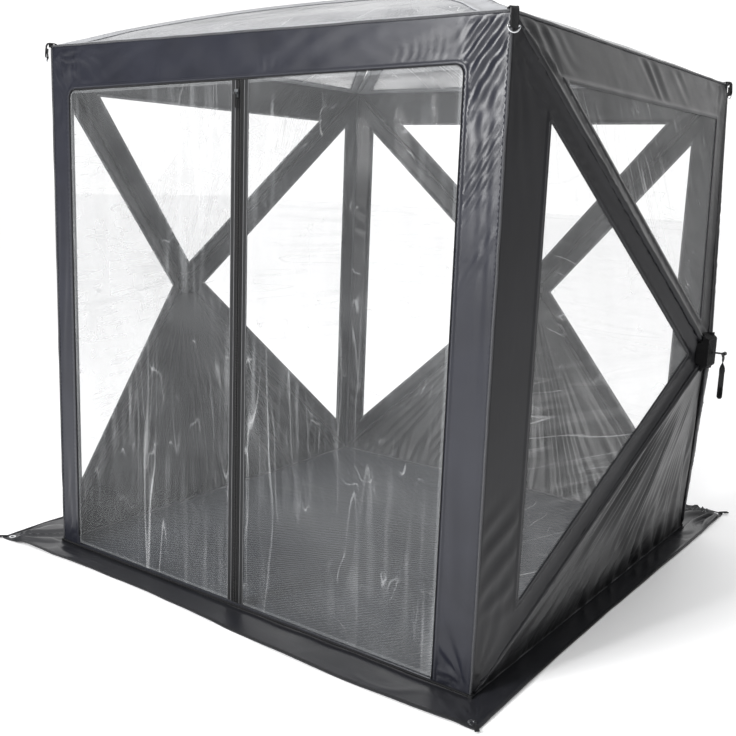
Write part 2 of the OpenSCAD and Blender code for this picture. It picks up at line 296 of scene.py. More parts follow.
def sweep(path, section, closed=False, ups=None, twist=None, widths=None):
    """Points of a section carried along a path; section is 2-D points, in the side and up directions."""
    path = np.array(path, float)
    n = len(path)
    if closed:
        tangent = np.roll(path, -1, 0) - np.roll(path, 1, 0)
    else:
        tangent = np.gradient(path, axis=0)
    tangent /= np.linalg.norm(tangent, axis=1)[:, None]
    up = np.broadcast_to(np.array((0, 0, 1.0) if ups is None else ups, float), (n, 3)).copy()
    side = np.cross(tangent, up)
    side /= np.maximum(np.linalg.norm(side, axis=1), 1e-9)[:, None]
    up = np.cross(side, tangent)
    if twist is not None:
        c, s = np.cos(twist)[:, None], np.sin(twist)[:, None]
        side, up = side * c + up * s, up * c - side * s
    section = np.array(section, float)
    scale = np.ones((n, 2)) if widths is None else np.array(widths, float)
    return (
        path[:, None]
        + side[:, None] * (section[None, :, :1] * scale[:, None, :1])
        + up[:, None] * (section[None, :, 1:] * scale[:, None, 1:])
    )


def tube_object(name, material, paths):
    """One mesh of closed tubes; each path is (points, section, options for sweep)."""
    cloth = Cloth()
    for points, section, options in paths:
        ends = options.pop("closed", False)
        rings = sweep(points, section, closed=ends, **options)
        rings = np.concatenate([rings, rings[:, :1]], 1)
        if ends:
            rings = np.concatenate([rings, rings[:1]], 0)
        length = np.concatenate([[0], np.cumsum(np.linalg.norm(np.diff(rings[:, 0], axis=0), axis=1))])
        around = np.linspace(0, 0.02, rings.shape[1])
        uv = np.stack(np.broadcast_arrays(length[:, None], around[None, :]), -1)
        cloth.grid(rings[:, ::-1], uv)
        if not ends:
            for end, back in ((0, False), (-1, True)):
                ring = rings[end][:-1]
                start = cloth.loose(np.vstack([ring, ring.mean(0)]))
                hub = start + len(ring)
                for i in range(len(ring)):
                    a, b = start + i, start + (i + 1) % len(ring)
                    cloth.faces.append([a, b, hub] if not back else [b, a, hub])
                    cloth.slots.append(0)
    return cloth.build(name, material)


def circle(radius, sides=10, flat=1.0):
    a = np.linspace(0, 2 * math.pi, sides, endpoint=False)
    return np.stack([radius * np.cos(a), radius * flat * np.sin(a)], -1)


def slab(width, thick, bead=0.35):
    """Section of a flat strap: rounded edges that are a little thicker than its middle."""
    w, t = width / 2, thick / 2
    half = [(-w, 0), (-w + 0.3 * t, t), (-w + 2.2 * t, t), (-w + 3 * t, t * (1 - bead)), (0, t * (1 - bead)),
            (w - 3 * t, t * (1 - bead)), (w - 2.2 * t, t), (w - 0.3 * t, t)]
    return half + [(-x, -y) for x, y in half]


# ---------------------------------------------------------------- materials
class Mat:
    """A Principled material and short ways to feed it."""

    def __init__(self, name, color, rough, **values):
        self.material = bpy.data.materials.new(name)
        self.material.use_nodes = True
        self.tree = self.material.node_tree
        self.shader = self.tree.nodes["Principled BSDF"]
        self.set("Base Color", (*color, 1))
        self.set("Roughness", rough)
        for key, value in values.items():
            self.set(key.replace("_", " "), value)

    def set(self, socket, value):
        self.shader.inputs[socket].default_value = value

    def node(self, kind, *inputs, **settings):
        n = self.tree.nodes.new("ShaderNode" + kind)
        named = settings.pop("sockets", {})
        for key, value in settings.items():
            setattr(n, key, value)
        for i, value in list(enumerate(inputs)) + list(named.items()):
            if value is None:
                continue
            if isinstance(value, bpy.types.NodeSocket):
                self.tree.links.new(value, n.inputs[i])
            else:
                n.inputs[i].default_value = value
        return n.outputs[0]

    def uv(self, name="weave"):
        return self.node("UVMap", uv_map=name)

    def objects(self):
        n = self.tree.nodes.new("ShaderNodeTexCoord")
        return n.outputs["Object"]

    def turn(self, vector, angle=0.0, scale=(1, 1, 1), shift=(0, 0, 0)):
        return self.node("Mapping", vector, shift, (0, 0, angle), scale)

    def noise(self, vector, scale, detail=2.0, rough=0.5, distort=0.0):
        n = self.tree.nodes.new("ShaderNodeTexNoise")
        self.tree.links.new(vector, n.inputs["Vector"])
        values = {"Scale": scale, "Detail": detail, "Roughness": rough, "Distortion": distort}
        for key, value in values.items():
            n.inputs[key].default_value = value
        return n.outputs[0]

    def wave(self, vector, period, distort=0.0, direction="X", detail_scale=1.0):
        n = self.tree.nodes.new("ShaderNodeTexWave")
        n.bands_direction = direction
        self.tree.links.new(vector, n.inputs["Vector"])
        n.inputs["Scale"].default_value = 0.31416 / period
        n.inputs["Distortion"].default_value = distort
        n.inputs["Detail"].default_value = 1
        n.inputs["Detail Scale"].default_value = detail_scale
        return n.outputs["Fac"]

    def math(self, kind, *inputs):
        return self.node("Math", *inputs, operation=kind)

    def add(self, a, b):
        return self.math("ADD", a, b)

    def times(self, a, b):
        return self.math("MULTIPLY", a, b)

    def most(self, a, b):
        return self.math("MAXIMUM", a, b)

    def least(self, a, b):
        return self.math("MINIMUM", a, b)

    def below(self, a, b):
        return self.math("LESS_THAN", a, b)

    def gap(self, a, b):
        """How far apart two values are."""
        return self.math("ABSOLUTE", self.math("SUBTRACT", a, b))

    def dashes(self, along, pitch, share):
        """1 on each stitch of a row and 0 between stitches."""
        return self.below(self.math("FRACT", self.math("DIVIDE", along, pitch)), share)

    def span(self, value, low, high, to_low=0.0, to_high=1.0):
        return self.node("MapRange", value, low, high, to_low, to_high)

    def tint(self, factor, low, high):
        """A colour from low to high by factor."""
        n = self.tree.nodes.new("ShaderNodeMix")
        n.data_type = "RGBA"
        self.tree.links.new(factor, n.inputs["Factor"])
        for key, value in (("A", low), ("B", high)):
            socket = [s for s in n.inputs if s.name == key and s.type == "RGBA"][0]
            if isinstance(value, bpy.types.NodeSocket):
                self.tree.links.new(value, socket)
            else:
                socket.default_value = (*value, 1)
        return [s for s in n.outputs if s.type == "RGBA"][0]

    def bump(self, height, depth, under=None):
        n = self.tree.nodes.new("ShaderNodeBump")
        n.inputs["Distance"].default_value = depth
        n.inputs["Strength"].default_value = 1.0
        self.tree.links.new(height, n.inputs["Height"])
        if under is not None:
            self.tree.links.new(under, n.inputs["Normal"])
        return n.outputs[0]

    def feed(self, socket, output):
        self.tree.links.new(output, self.shader.inputs[socket])


def shade(color, factor):
    return tuple(c * factor for c in color)


def fabric(name, color, rough=0.34, sheen=0.02, crinkle=0.0006, thread=(0.06, 0.062, 0.07), level=0.34):
    """Coated taffeta: fine weave, soft crinkles, uneven dye, and a stitched line beside each hem."""
    m = Mat(name, color, rough, Specular_IOR_Level=level, Sheen_Weight=sheen, Sheen_Roughness=0.4)
    uv = m.uv()
    weave = m.add(m.wave(uv, 0.0011), m.wave(uv, 0.0011, direction="Y"))
    soft = m.noise(m.turn(uv, 0.5, (1, 1.7, 1)), 6, 2, 0.5, 0.4)
    fine = m.noise(m.turn(uv, 0.9, (1, 4.0, 1)), 17, 2, 0.45, 0.5)
    dye = m.tint(m.span(soft, 0.3, 0.7), shade(color, 0.86), shade(color, 1.16))
    seam = m.node("SeparateXYZ", m.uv("seam"))
    split = seam.node
    offset = m.gap(split.outputs[1], STITCH_IN)
    dash = m.dashes(split.outputs[0], 0.0042, 0.66)
    stitch = m.times(m.below(offset, THREAD_R), dash)
    wear = m.span(split.outputs[1], 0.0, 0.0035, 0.35, 0.0)
    worn = m.tint(m.times(wear, m.noise(uv, 70, 2)), dye, shade(color, 2.4))
    m.feed("Base Color", m.tint(stitch, worn, thread))
    m.feed("Roughness", m.span(m.noise(uv, 14, 3), 0.3, 0.7, rough - 0.04, rough + 0.05))
    base = m.bump(weave, 0.000012)
    base = m.bump(m.add(m.times(fine, 0.35), soft), crinkle, base)
    m.feed("Normal", m.bump(stitch, 0.0004, base))
    return m.material


def cover_patch(name, color):
    """Hub cover: close black weave, a cross of stitching from corner to corner and one round the rim."""
    m = Mat(name, color, 0.75, Specular_IOR_Level=0.12)
    uv = m.uv()
    split = m.node("SeparateXYZ", uv).node
    x, y = split.outputs[0], split.outputs[1]
    edge = m.most(m.math("ABSOLUTE", x), m.math("ABSOLUTE", y))
    cross = m.times(m.least(m.gap(x, y), m.math("ABSOLUTE", m.add(x, y))), math.sqrt(0.5))
    rim = m.gap(edge, COVER_SEAM)
    cross = m.add(cross, m.math("GREATER_THAN", edge, COVER_SEAM))
    near = m.below(m.least(cross, rim), THREAD_R)
    dash = m.dashes(m.add(x, m.times(y, 0.37)), 0.0034, 0.62)
    stitch = m.times(near, dash)
    weave = m.add(m.wave(uv, 0.0014), m.wave(uv, 0.0014, direction="Y"))
    m.feed("Base Color", m.tint(stitch, color, (0.055, 0.056, 0.06)))
    m.feed("Roughness", m.span(m.noise(uv, 60, 2), 0.3, 0.7, 0.68, 0.80))
    m.feed("Normal", m.bump(stitch, 0.0005, m.bump(weave, 0.00015)))
    return m.material


def film(name, haze_and_sheen, crease_and_highlight, color=(0.84, 0.86, 0.88), rough=0.09, slant=0.3, streaks=1.0, rim=0.0):
    """Clear vinyl: a milky tint that is partly a painted sheen, long fold lines and little crumple marks
    painted near-white as partly real whitening and partly painted highlights, brushed streaks, a painted
    reflection towards glancing angles, and a gloss.
    """
    m = Mat(name, color, rough, Specular_IOR_Level=0.5)
    uv = m.uv()

    def ridge(vector, detail, wide, distort=0.0):
        """Thin lines where a noise crosses its middle value."""
        value = m.noise(vector, 1.0, detail, 0.4, distort)
        return m.span(m.gap(value, 0.5), 0.0, wide, 1.0, 0.0)

    fold = ridge(m.turn(uv, slant, (15, 1.0, 1)), 1, 0.011)
    twin = ridge(m.turn(uv, slant + 0.12, (24, 1.7, 1), (3.1, 0.4, 0)), 1, 0.012)
    gate = m.span(m.noise(m.turn(uv, slant, (4.5, 1.3, 1)), 1.0, 2), 0.50, 0.66)
    gate_two = m.span(m.noise(m.turn(uv, slant, (6, 2.2, 1), (5, 2, 0)), 1.0, 2), 0.55, 0.68)
    long = m.most(m.times(fold, gate), m.times(twin, gate_two))
    mark = ridge(m.turn(uv, 0.7, (19, 9, 1), (1.3, 2.7, 0)), 1, 0.012, 0.25)
    other = ridge(m.turn(uv, -0.4, (24, 8, 1), (4.3, 0.7, 0)), 1, 0.012, 0.2)
    spot = m.span(m.noise(uv, 9.0, 2, 0.5), 0.585, 0.66)
    spot_two = m.span(m.noise(m.turn(uv, 0, (1, 1, 1), (7, 3, 0)), 8.0, 2, 0.5), 0.60, 0.68)
    crumple_marks_and_highlights = m.most(m.times(mark, spot), m.times(other, spot_two))
    brushed = m.noise(m.turn(uv, slant * 0.8, (46, 3.0, 1)), 1.0, 2, 0.5)
    patch = m.span(m.noise(uv, 3.0, 2), 0.42, 0.68)
    brushed = m.times(m.span(brushed, 0.50, 0.78), patch)
    # painted highlights: the fold and crumple marks, which are also partly real whitening of the vinyl
    crease_marks_and_highlights = m.most(m.times(long, 0.7), m.times(crumple_marks_and_highlights, 0.6))
    # painted reflection: at glancing angles the film is made more opaque in its pale colour
    glance = m.tree.nodes.new("ShaderNodeLayerWeight")
    glance.inputs["Blend"].default_value = 0.30
    edge = m.times(glance.outputs["Fresnel"], 0.15)
    # milky tint, partly the film's own and partly a painted sheen standing in for its reflections
    cloud_and_sheen = m.span(m.noise(m.turn(uv, 0.5, (1, 2.2, 1)), 2.6, 3, 0.6), 0.3, 0.75, haze_and_sheen * 0.6, haze_and_sheen * 1.4)
    veil_and_sheen = m.add(cloud_and_sheen, m.times(brushed, 0.16 * streaks))
    alpha = m.add(veil_and_sheen, m.times(crease_marks_and_highlights, crease_and_highlight))
    if rim:  # the welded edge is twice as thick, and milky
        gap = m.node("SeparateXYZ", m.uv("seam")).node.outputs[1]
        alpha = m.add(alpha, m.times(m.below(gap, WELD), rim))
    m.feed("Alpha", m.least(m.add(alpha, edge), 0.94))
    # the fold and crumple marks are tinted near-white: partly real whitening, partly painted highlight
    m.feed("Base Color", m.tint(crease_marks_and_highlights, color, (0.96, 0.97, 0.98)))
    m.feed("Roughness", m.span(crease_marks_and_highlights, 0, 1, rough, 0.4))
    ripple = m.noise(m.turn(uv, slant, (3.2, 0.9, 1)), 4, 1, 0.4, 0.3)
    m.feed("Normal", m.bump(crease_marks_and_highlights, 0.0006, m.bump(ripple, 0.004)))
    return m.material


def webbing(name, color, rough=0.6):
    """Woven strap: ribs across, a fine herringbone and a few pale lint flecks."""
    m = Mat(name, color, rough, Sheen_Weight=0.02, Sheen_Roughness=0.5, Specular_IOR_Level=0.3)
    uv = m.uv()
    ribs = m.wave(uv, 0.0016)
    yarn = m.wave(m.turn(uv, 0.7), 0.0011, 0.4)
    flecks = m.span(m.noise(uv, 500, 2), 0.62, 0.8)
    tone = m.times(m.add(ribs, flecks), 0.5)
    m.feed("Base Color", m.tint(tone, shade(color, 0.7), shade(color, 1.9)))
    m.feed("Roughness", m.span(ribs, 0, 1, rough + 0.1, rough - 0.08))
    m.feed("Normal", m.bump(m.add(ribs, m.times(yarn, 0.5)), 0.0003))
    return m.material


def solid_finish(name, color, rough, grain, depth, spread=0.15, **values):
    """A moulded, drawn or plated finish with a grain of its own scale and uneven gloss."""
    m = Mat(name, color, rough, **values)
    at = m.objects()
    fine = m.noise(at, grain, 3)
    broad = m.noise(at, 9, 3)
    m.feed("Base Color", m.tint(broad, shade(color, 1 - spread), shade(color, 1 + spread)))
    m.feed("Roughness", m.span(fine, 0.3, 0.7, rough * 0.8, rough * 1.25))
    m.feed("Normal", m.bump(fine, depth))
    return m.material


def ground_material(name, color):
    """Woven groundsheet: slanting ribs with a finer cross weave, scuffed here and there."""
    m = Mat(name, color, 0.5, Specular_IOR_Level=0.45)
    uv = m.uv()
    ribs = m.wave(m.turn(uv, 0.62), 0.0125, 1.2, detail_scale=1.5)
    cross = m.wave(m.turn(uv, 0.62), 0.021, 2.0, "Y", 2.0)
    grid = m.add(m.times(ribs, 0.75), m.times(cross, 0.35))
    worn = m.noise(uv, 6, 4, 0.6)
    tone = m.add(m.times(grid, 0.6), m.span(worn, 0.3, 0.7, -0.1, 0.5))
    m.feed("Base Color", m.tint(tone, shade(color, 0.55), shade(color, 1.5)))
    m.feed("Roughness", m.span(worn, 0.3, 0.7, 0.42, 0.58))
    m.feed("Normal", m.bump(grid, 0.0012, m.bump(m.noise(uv, 420, 2), 0.0002)))
    return m.material


SLATE = (0.0135, 0.0145, 0.0215)
shell_cloth = fabric("shell_cloth", (0.0135, 0.0136, 0.0158))
front_cloth = fabric("front_cloth", SLATE, level=0.42, rough=0.33)
lower_cloth = fabric("lower_cloth", (0.0115, 0.0117, 0.0130), rough=0.36)
flap_cloth = fabric("flap_cloth", (0.0135, 0.0140, 0.0175), rough=0.33, level=0.5)
roof_cloth = fabric("roof_cloth", (0.30, 0.305, 0.32), rough=0.36, thread=(0.22, 0.22, 0.23))
cover_cloth = cover_patch("cover_cloth", (0.0022, 0.0022, 0.0026))
# each film's white fold and crumple marks are partly painted highlights, and its milky tint is partly a
# painted sheen
door_film = film("door_film", haze_and_sheen=0.055, crease_and_highlight=0.29, slant=-0.30, rim=0.07)
wall_film = film("wall_film", haze_and_sheen=0.13, crease_and_highlight=0.34, color=(0.90, 0.91, 0.92), slant=0.9, streaks=1.1)
roof_film = film("roof_film", haze_and_sheen=0.66, crease_and_highlight=0.12, color=(0.25, 0.255, 0.27), rough=0.22, slant=1.2)
black_webbing = webbing("black_webbing", (0.0065, 0.0065, 0.0075))
# the piping's grey is partly the cord's own colour and partly a painted highlight along the edges
piping_cord = webbing("piping_cord", (0.060, 0.061, 0.066), 0.32)
flap_binding_cloth = webbing("flap_binding_cloth", (0.014, 0.0145, 0.017), 0.45)
zip_tape_cloth = webbing("zip_tape_cloth", (0.012, 0.0125, 0.0135), 0.6)
zip_line = webbing("zip_line", (0.16, 0.162, 0.168), 0.5)
zip_tape_black = webbing("zip_tape_black", (0.0045, 0.0045, 0.0050), 0.75)
coil_nylon = solid_finish("coil_nylon", (0.006, 0.006, 0.0065), 0.38, 900, 0.00005)
grey_metal = solid_finish("grey_metal", (0.20, 0.21, 0.22), 0.34, 700, 0.00006, Metallic=0.8)
chrome = solid_finish("chrome", (0.78, 0.79, 0.81), 0.16, 800, 0.00003, 0.05, Metallic=1.0)
pin_metal = solid_finish("pin_metal", (0.52, 0.53, 0.55), 0.3, 900, 0.00004, 0.08, Metallic=1.0)
hub_plastic = solid_finish("hub_plastic", (0.010, 0.0103, 0.0112), 0.46, 1400, 0.00006)
pole_glass = solid_finish("pole_glass", (0.035, 0.036, 0.04), 0.3, 600, 0.00005, 0.25)
ground_weave = ground_material("ground_weave", (0.021, 0.0240, 0.0300))


# ---------------------------------------------------------------- walls and their panels
class Wall:
    def __init__(self, name, at, u, v, half_u, half_v):
        self.name, self.half_u, self.half_v = name, half_u, half_v
        self.at, self.u, self.v = (np.array(a, float) for a in (at, u, v))
        self.n = np.cross(self.u, self.v)
        pins_lo, pins_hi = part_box(f"{name}_hub_pins")
        self.hub = np.array((pins_lo + pins_hi) / 2)
        self.pop = float((self.hub - self.at) @ self.n)

    def point(self, u, v, n):
        u, v, n = (np.asarray(a, float)[..., None] for a in np.broadcast_arrays(u, v, n))
        return self.at + u * self.u + v * self.v + n * self.n


WALLS = {
    "right": Wall("right", (HALF_W, 0, HEIGHT / 2), (0, 1, 0), (0, 0, 1), HALF_D, HEIGHT / 2),
    "left": Wall("left", (-HALF_W, 0, HEIGHT / 2), (0, -1, 0), (0, 0, 1), HALF_D, HEIGHT / 2),
    "back": Wall("back", (0, HALF_D, HEIGHT / 2), (-1, 0, 0), (0, 0, 1), HALF_W, HEIGHT / 2),
    "roof": Wall("roof", (0, 0, HEIGHT), (1, 0, 0), (0, 1, 0), HALF_W, HALF_D),
}
TURNS = {"+u": 90, "-u": 270, "+v": 180, "-v": 0}
# wall, side, node, border band (None for a panel without a window)
PANELS = [
    ("right", "-u", "right_front_window", 0.112), ("right", "+v", "right_top_window", 0.108),
    ("right", "+u", "right_rear_window", 0.080), ("right", "-v", "right_lower_panel", None),
    ("left", "+u", "left_front_window", 0.085), ("left", "+v", "left_top_window", 0.108),
    ("left", "-u", "left_rear_window", 0.050), ("left", "-v", "left_lower_panel", None),
    ("back", "-u", "back_right_window", 0.095), ("back", "+v", "back_top_window", 0.108),
    ("back", "+u", "back_left_window", 0.062), ("back", "-v", "back_lower_panel", None),
    ("roof", "-v", "roof_front_pane", 0.030), ("roof", "+v", "roof_rear_pane", 0.030),
    ("roof", "-u", "roof_left_pane", 0.030), ("roof", "+u", "roof_right_pane", 0.030),
]


class Panel:
    """One of a wall's four triangles: x along the border seam, y up the slope to the hub, d outward."""

    def __init__(self, wall, side, seed):
        turn = math.radians(TURNS[side])
        self.x = math.cos(turn) * wall.u + math.sin(turn) * wall.v
        inward = math.cos(turn) * wall.v - math.sin(turn) * wall.u
        self.half, reach = (wall.half_v, wall.half_u) if "u" in side else (wall.half_u, wall.half_v)
        self.slant = math.hypot(reach, wall.pop)
        self.y = (inward * reach + wall.n * wall.pop) / self.slant
        self.n = (wall.n * reach - inward * wall.pop) / self.slant
        self.at = wall.at - inward * reach
        self.run = math.hypot(self.half, self.slant)
        self.seed = seed
        self.bow = 0.016 if wall.name == "roof" else 0.0

    def point(self, x, y, d=0.0):
        x, y, d = (np.asarray(a, float)[..., None] for a in np.broadcast_arrays(x, y, d))
        return self.at + x * self.x + y * self.y + d * self.n

    def edge_x(self, y, inset=0.0):
        """Half width of the triangle at y, less an inset measured square to the diagonal."""
        return self.half * (1 - y / self.slant) - inset * self.run / self.slant

    def to_diagonals(self, x, y):
        """Distances to the two diagonals."""
        gap = self.half * (1 - y / self.slant)
        return (gap + x) * self.slant / self.run, (gap - x) * self.slant / self.run

    def window(self, border, sleeve):
        """Corners of the window: left, right and top."""
        half = self.edge_x(border, sleeve)
        top = self.slant * (1 - sleeve * self.run / (self.slant * self.half))
        return (-half, border), (half, border), (0.0, top)

    def along(self, x, y):
        """Distances along the two diagonals from their corners."""
        rise = y * self.slant / self.run
        return (x + self.half) * self.half / self.run + rise, (self.half - x) * self.half / self.run + rise

    def dome(self, x, y):
        """How far the bowed poles lift the roof's panels above flat triangles."""
        left, right = self.along(x, y)
        share = np.minimum(left, right) / (self.run - 0.03)
        return self.bow * np.sin(math.pi * np.clip(share, 0, 1)) * ease(y / 0.12)

    def frame_relief(self, x, y, border, sleeve):
        left, right = self.to_diagonals(x, y)
        q_left, q_right = self.along(x, y)
        s = self.seed
        d = 0.0015 * folds(q_left, left, 0.024, s, 0.30) * ease((sleeve + FADE - left) / FADE)
        d += 0.0015 * folds(q_right, right, 0.024, s + 1, 0.30) * ease((sleeve + FADE - right) / FADE)
        slanted = x * 0.80 + y * 0.6
        patchy = ease(0.35 + 1.3 * noise(x / 0.19, y / 0.3, s + 4))
        across_band = folds(x * 0.6 - y * 0.8, slanted, 0.052, s + 2, 0.16)
        d += 0.0022 * patchy * across_band * ease((border - y) / FADE)
        for cx in (-self.half, self.half):
            d += 0.0034 * fan(x, y, cx, 0, 24, 0.10, s + 3, 0.02)
        outer = ease(np.minimum(np.minimum(left, right), y) / 0.018)
        inner = np.maximum(np.maximum(border - y, sleeve - left), sleeve - right)
        rise = OVER_POLE * (np.exp(-((left / 0.013) ** 2)) + np.exp(-((right / 0.013) ** 2)))
        rise = rise * ease(y / 0.05) + self.dome(x, y)
        return rise + d * outer * ease((inner - HEM) / 0.012) + LIP * (inner < HEM + 0.0004)

    def film_relief(self, x, y, border, sleeve, depth):
        left, right = self.to_diagonals(x, y)
        inner = np.minimum(np.minimum(y - border, left - sleeve), right - sleeve)
        broad = noise(x / 0.21, y / 0.21, self.seed + 5)
        crumple = -np.abs(noise((x + y) / 0.11, (y - 0.4 * x) / 0.24, self.seed + 6))
        return self.dome(x, y) + depth * ease(inner / 0.14) * (broad + 0.8 * crumple) - 0.0006


def frame_piece(node, panel, border, sleeve, material):
    """The fabric round one window: a border band and two half sleeves in one piece, with a turned hem."""
    cut_y = panel.slant - HUB_CUT
    cut_x = panel.edge_x(cut_y)
    outline = [(-panel.half, 0), (panel.half, 0), (cut_x, cut_y), (-cut_x, cut_y)]

    def room(x, y):
        left, right = panel.to_diagonals(x, y)
        return np.maximum(np.maximum(border - y, sleeve - left), sleeve - right)

    def inside(x, y):
        return (room(x, y) > 0) & (np.minimum(*panel.to_diagonals(x, y)) > 0) & (y > 0) & (y < cut_y)

    loops = [outline] + [panel.window(border - gap, sleeve - gap) for gap in (0, HEM, HEM + 0.0008)]
    x, y, faces = stitched(loops, inside, STEP)
    left, right = panel.to_diagonals(x, y)
    near = np.argmax(np.stack([border - y, sleeve - left, sleeve - right]), 0)
    q_left, q_right = panel.along(x, y)
    seam = np.stack([np.choose(near, [x, q_left, q_right]), room(x, y)], -1)
    cloth = Cloth()
    relief = panel.frame_relief(x, y, border, sleeve)
    cloth.triangles(panel.point(x, y, relief), np.stack([x, y], -1), seam, faces)
    obj = solidify(cloth.build(node.rsplit("_", 1)[0] + "_border", material, weld=False))
    a, b, top = panel.window(border, sleeve)
    area = panel.half * panel.slant - HUB_CUT * cut_x - (b[0] - a[0]) * (top[1] - border) / 2
    length = 2 * panel.half + 2 * panel.run
    return obj, (length, max(border, sleeve)), area


def film_piece(node, panel, border, sleeve, material, depth):
    """The film in one window; it runs under the hem all round."""
    under = 0.006
    a, b, top = panel.window(border - under, sleeve - under)
    n = steps(b[0] - a[0], 0.010)
    cloth = Cloth()
    rows = np.linspace(0, 1, n)[:, None]
    cols = np.linspace(0, 1, n)[None, :]
    x = (a[0] + (b[0] - a[0]) * cols) * (1 - rows)
    y = a[1] + (top[1] - a[1]) * rows + 0 * cols
    uv = np.stack([x + 0.37 * panel.seed, y], -1)
    cloth.grid(panel.point(x, y, panel.film_relief(x, y, border, sleeve, depth)), uv)
    obj = cloth.build(node.rsplit("_", 1)[0] + "_film", material)
    return obj, (b[0] - a[0], top[1] - a[1]), (b[0] - a[0]) * (top[1] - a[1]) / 2


def lower_piece(node, panel, material):
    """A whole fabric triangle, pulled into folds that fan down from the hub and bunch at the floor hem."""
    cut_y = panel.slant - HUB_CUT
    cloth = Cloth()
    rows = np.linspace(0, 1, steps(cut_y, 0.007))[:, None]
    cols = np.linspace(-1, 1, steps(2 * panel.half, 0.007))[None, :]
    y = cut_y * rows + 0 * cols
    x = panel.edge_x(y) * cols
    left, right = panel.to_diagonals(x, y)
    r = np.hypot(x, panel.slant - y)
    theta = np.arctan2(x, panel.slant - y)
    s = panel.seed
    spread = folds(r, theta, 0.105, s, 0.4, 0.45) * ease((r - 0.08) / 0.3)
    fine = folds(r, theta, 0.047, s + 3, 0.25, 0.6) * ease((r - 0.25) / 0.3)
    bunch = folds(y, x, 0.034, s + 4, 0.10, 0.7) * np.exp(-y / 0.07)
    d = 0.0052 * spread + 0.0022 * fine + 0.0030 * bunch
    for cx in (-panel.half, panel.half):
        d += 0.0040 * fan(x, y, cx, 0, 30, 0.10, s + 5, 0.02)
    d *= ease(np.minimum(np.minimum(left, right), y) / 0.022)
    cloth.grid(panel.point(x, y, d), np.stack([x, y], -1))
    obj = solidify(cloth.build(node.replace("_panel", "_cloth"), material))
    return obj, (2 * panel.half, panel.slant), panel.half * panel.slant * 0.99


for seed, (wall_name, side, node, border) in enumerate(PANELS):
    wall = WALLS[wall_name]
    panel = Panel(wall, side, 11 * seed + 3)
    roof = wall_name == "roof"
    if border is None:
        piece, flat, area = lower_piece(node, panel, lower_cloth)
        place(piece, node, [node])
        continue
    sleeve = 0.040 if roof else SLEEVE
    piece, flat, area = frame_piece(node, panel, border, sleeve, roof_cloth if roof else shell_cloth)
    place(piece, node, [node])
    material, depth = (roof_film, 0.004) if roof else (wall_film, 0.003)
    pane, flat, area = film_piece(node, panel, border, sleeve, material, depth)
    place(pane, node, [node])


# ---------------------------------------------------------------- pole sleeves and hub covers
POLES = {
    "right": {"upper_front": (-1, 1), "upper_rear": (1, 1), "lower_front": (-1, -1), "lower_rear": (1, -1)},
    "left": {"upper_front": (1, 1), "upper_rear": (-1, 1), "lower_front": (1, -1), "lower_rear": (-1, -1)},
    "back": {"upper_right": (-1, 1), "upper_left": (1, 1), "lower_right": (-1, -1), "lower_left": (1, -1)},
    "roof": {"front_right": (1, -1), "front_left": (-1, -1), "rear_right": (1, 1), "rear_left": (-1, 1)},
}
TUBE_R = 0.0058
TUBE_START = 0.038  # from the hub's centre
TUBE_END = 0.014  # from the corner
SLEEVE_T = 0.0005


def sleeve_piece(wall, label, su, sv, seed):
    """A loose fabric tube round one pole, from beside the hub to its corner pocket."""
    out = np.array([su * wall.half_u, sv * wall.half_v])
    diagonal = np.linalg.norm(out)
    out /= diagonal
    slope = wall.pop / (diagonal - PIVOT_R)
    r = np.linspace(TUBE_START, diagonal - TUBE_END, steps(diagonal, 0.009))
    turns = np.linspace(0, 2 * math.pi, 17)
    path_n = wall.pop - (r - PIVOT_R) * slope
    length = r * math.hypot(1, slope)
    rr, tt = np.meshgrid(length, turns, indexing="ij")
    swell = 1 + 0.17 * folds(rr, tt * 0.02 + rr * 0.25, 0.017, seed, 0.09) + 0.10 * noise(rr / 0.05, tt, seed)
    swell[:, -1] = swell[:, 0]
    taper = 0.45 + 0.55 * ease((diagonal - TUBE_END - r) / 0.05)[:, None]
    across = TUBE_R * 1.12 * swell * taper * np.cos(tt)
    lift = TUBE_R * 0.92 * swell * taper * np.sin(tt)
    u = r[:, None] * out[0] - across * out[1]
    v = r[:, None] * out[1] + across * out[0]
    cloth = Cloth()
    cloth.grid(wall.point(u, v, path_n[:, None] + lift), np.stack([rr, tt * 0.008], -1))
    body = f"{wall.name}_{label}_pole"
    material = roof_cloth if wall.name == "roof" else shell_cloth
    piece = solidify(cloth.build(f"{wall.name}_{label}_sleeve", material), SLEEVE_T)
    place(piece, body)


COVER_HALF = 0.0405


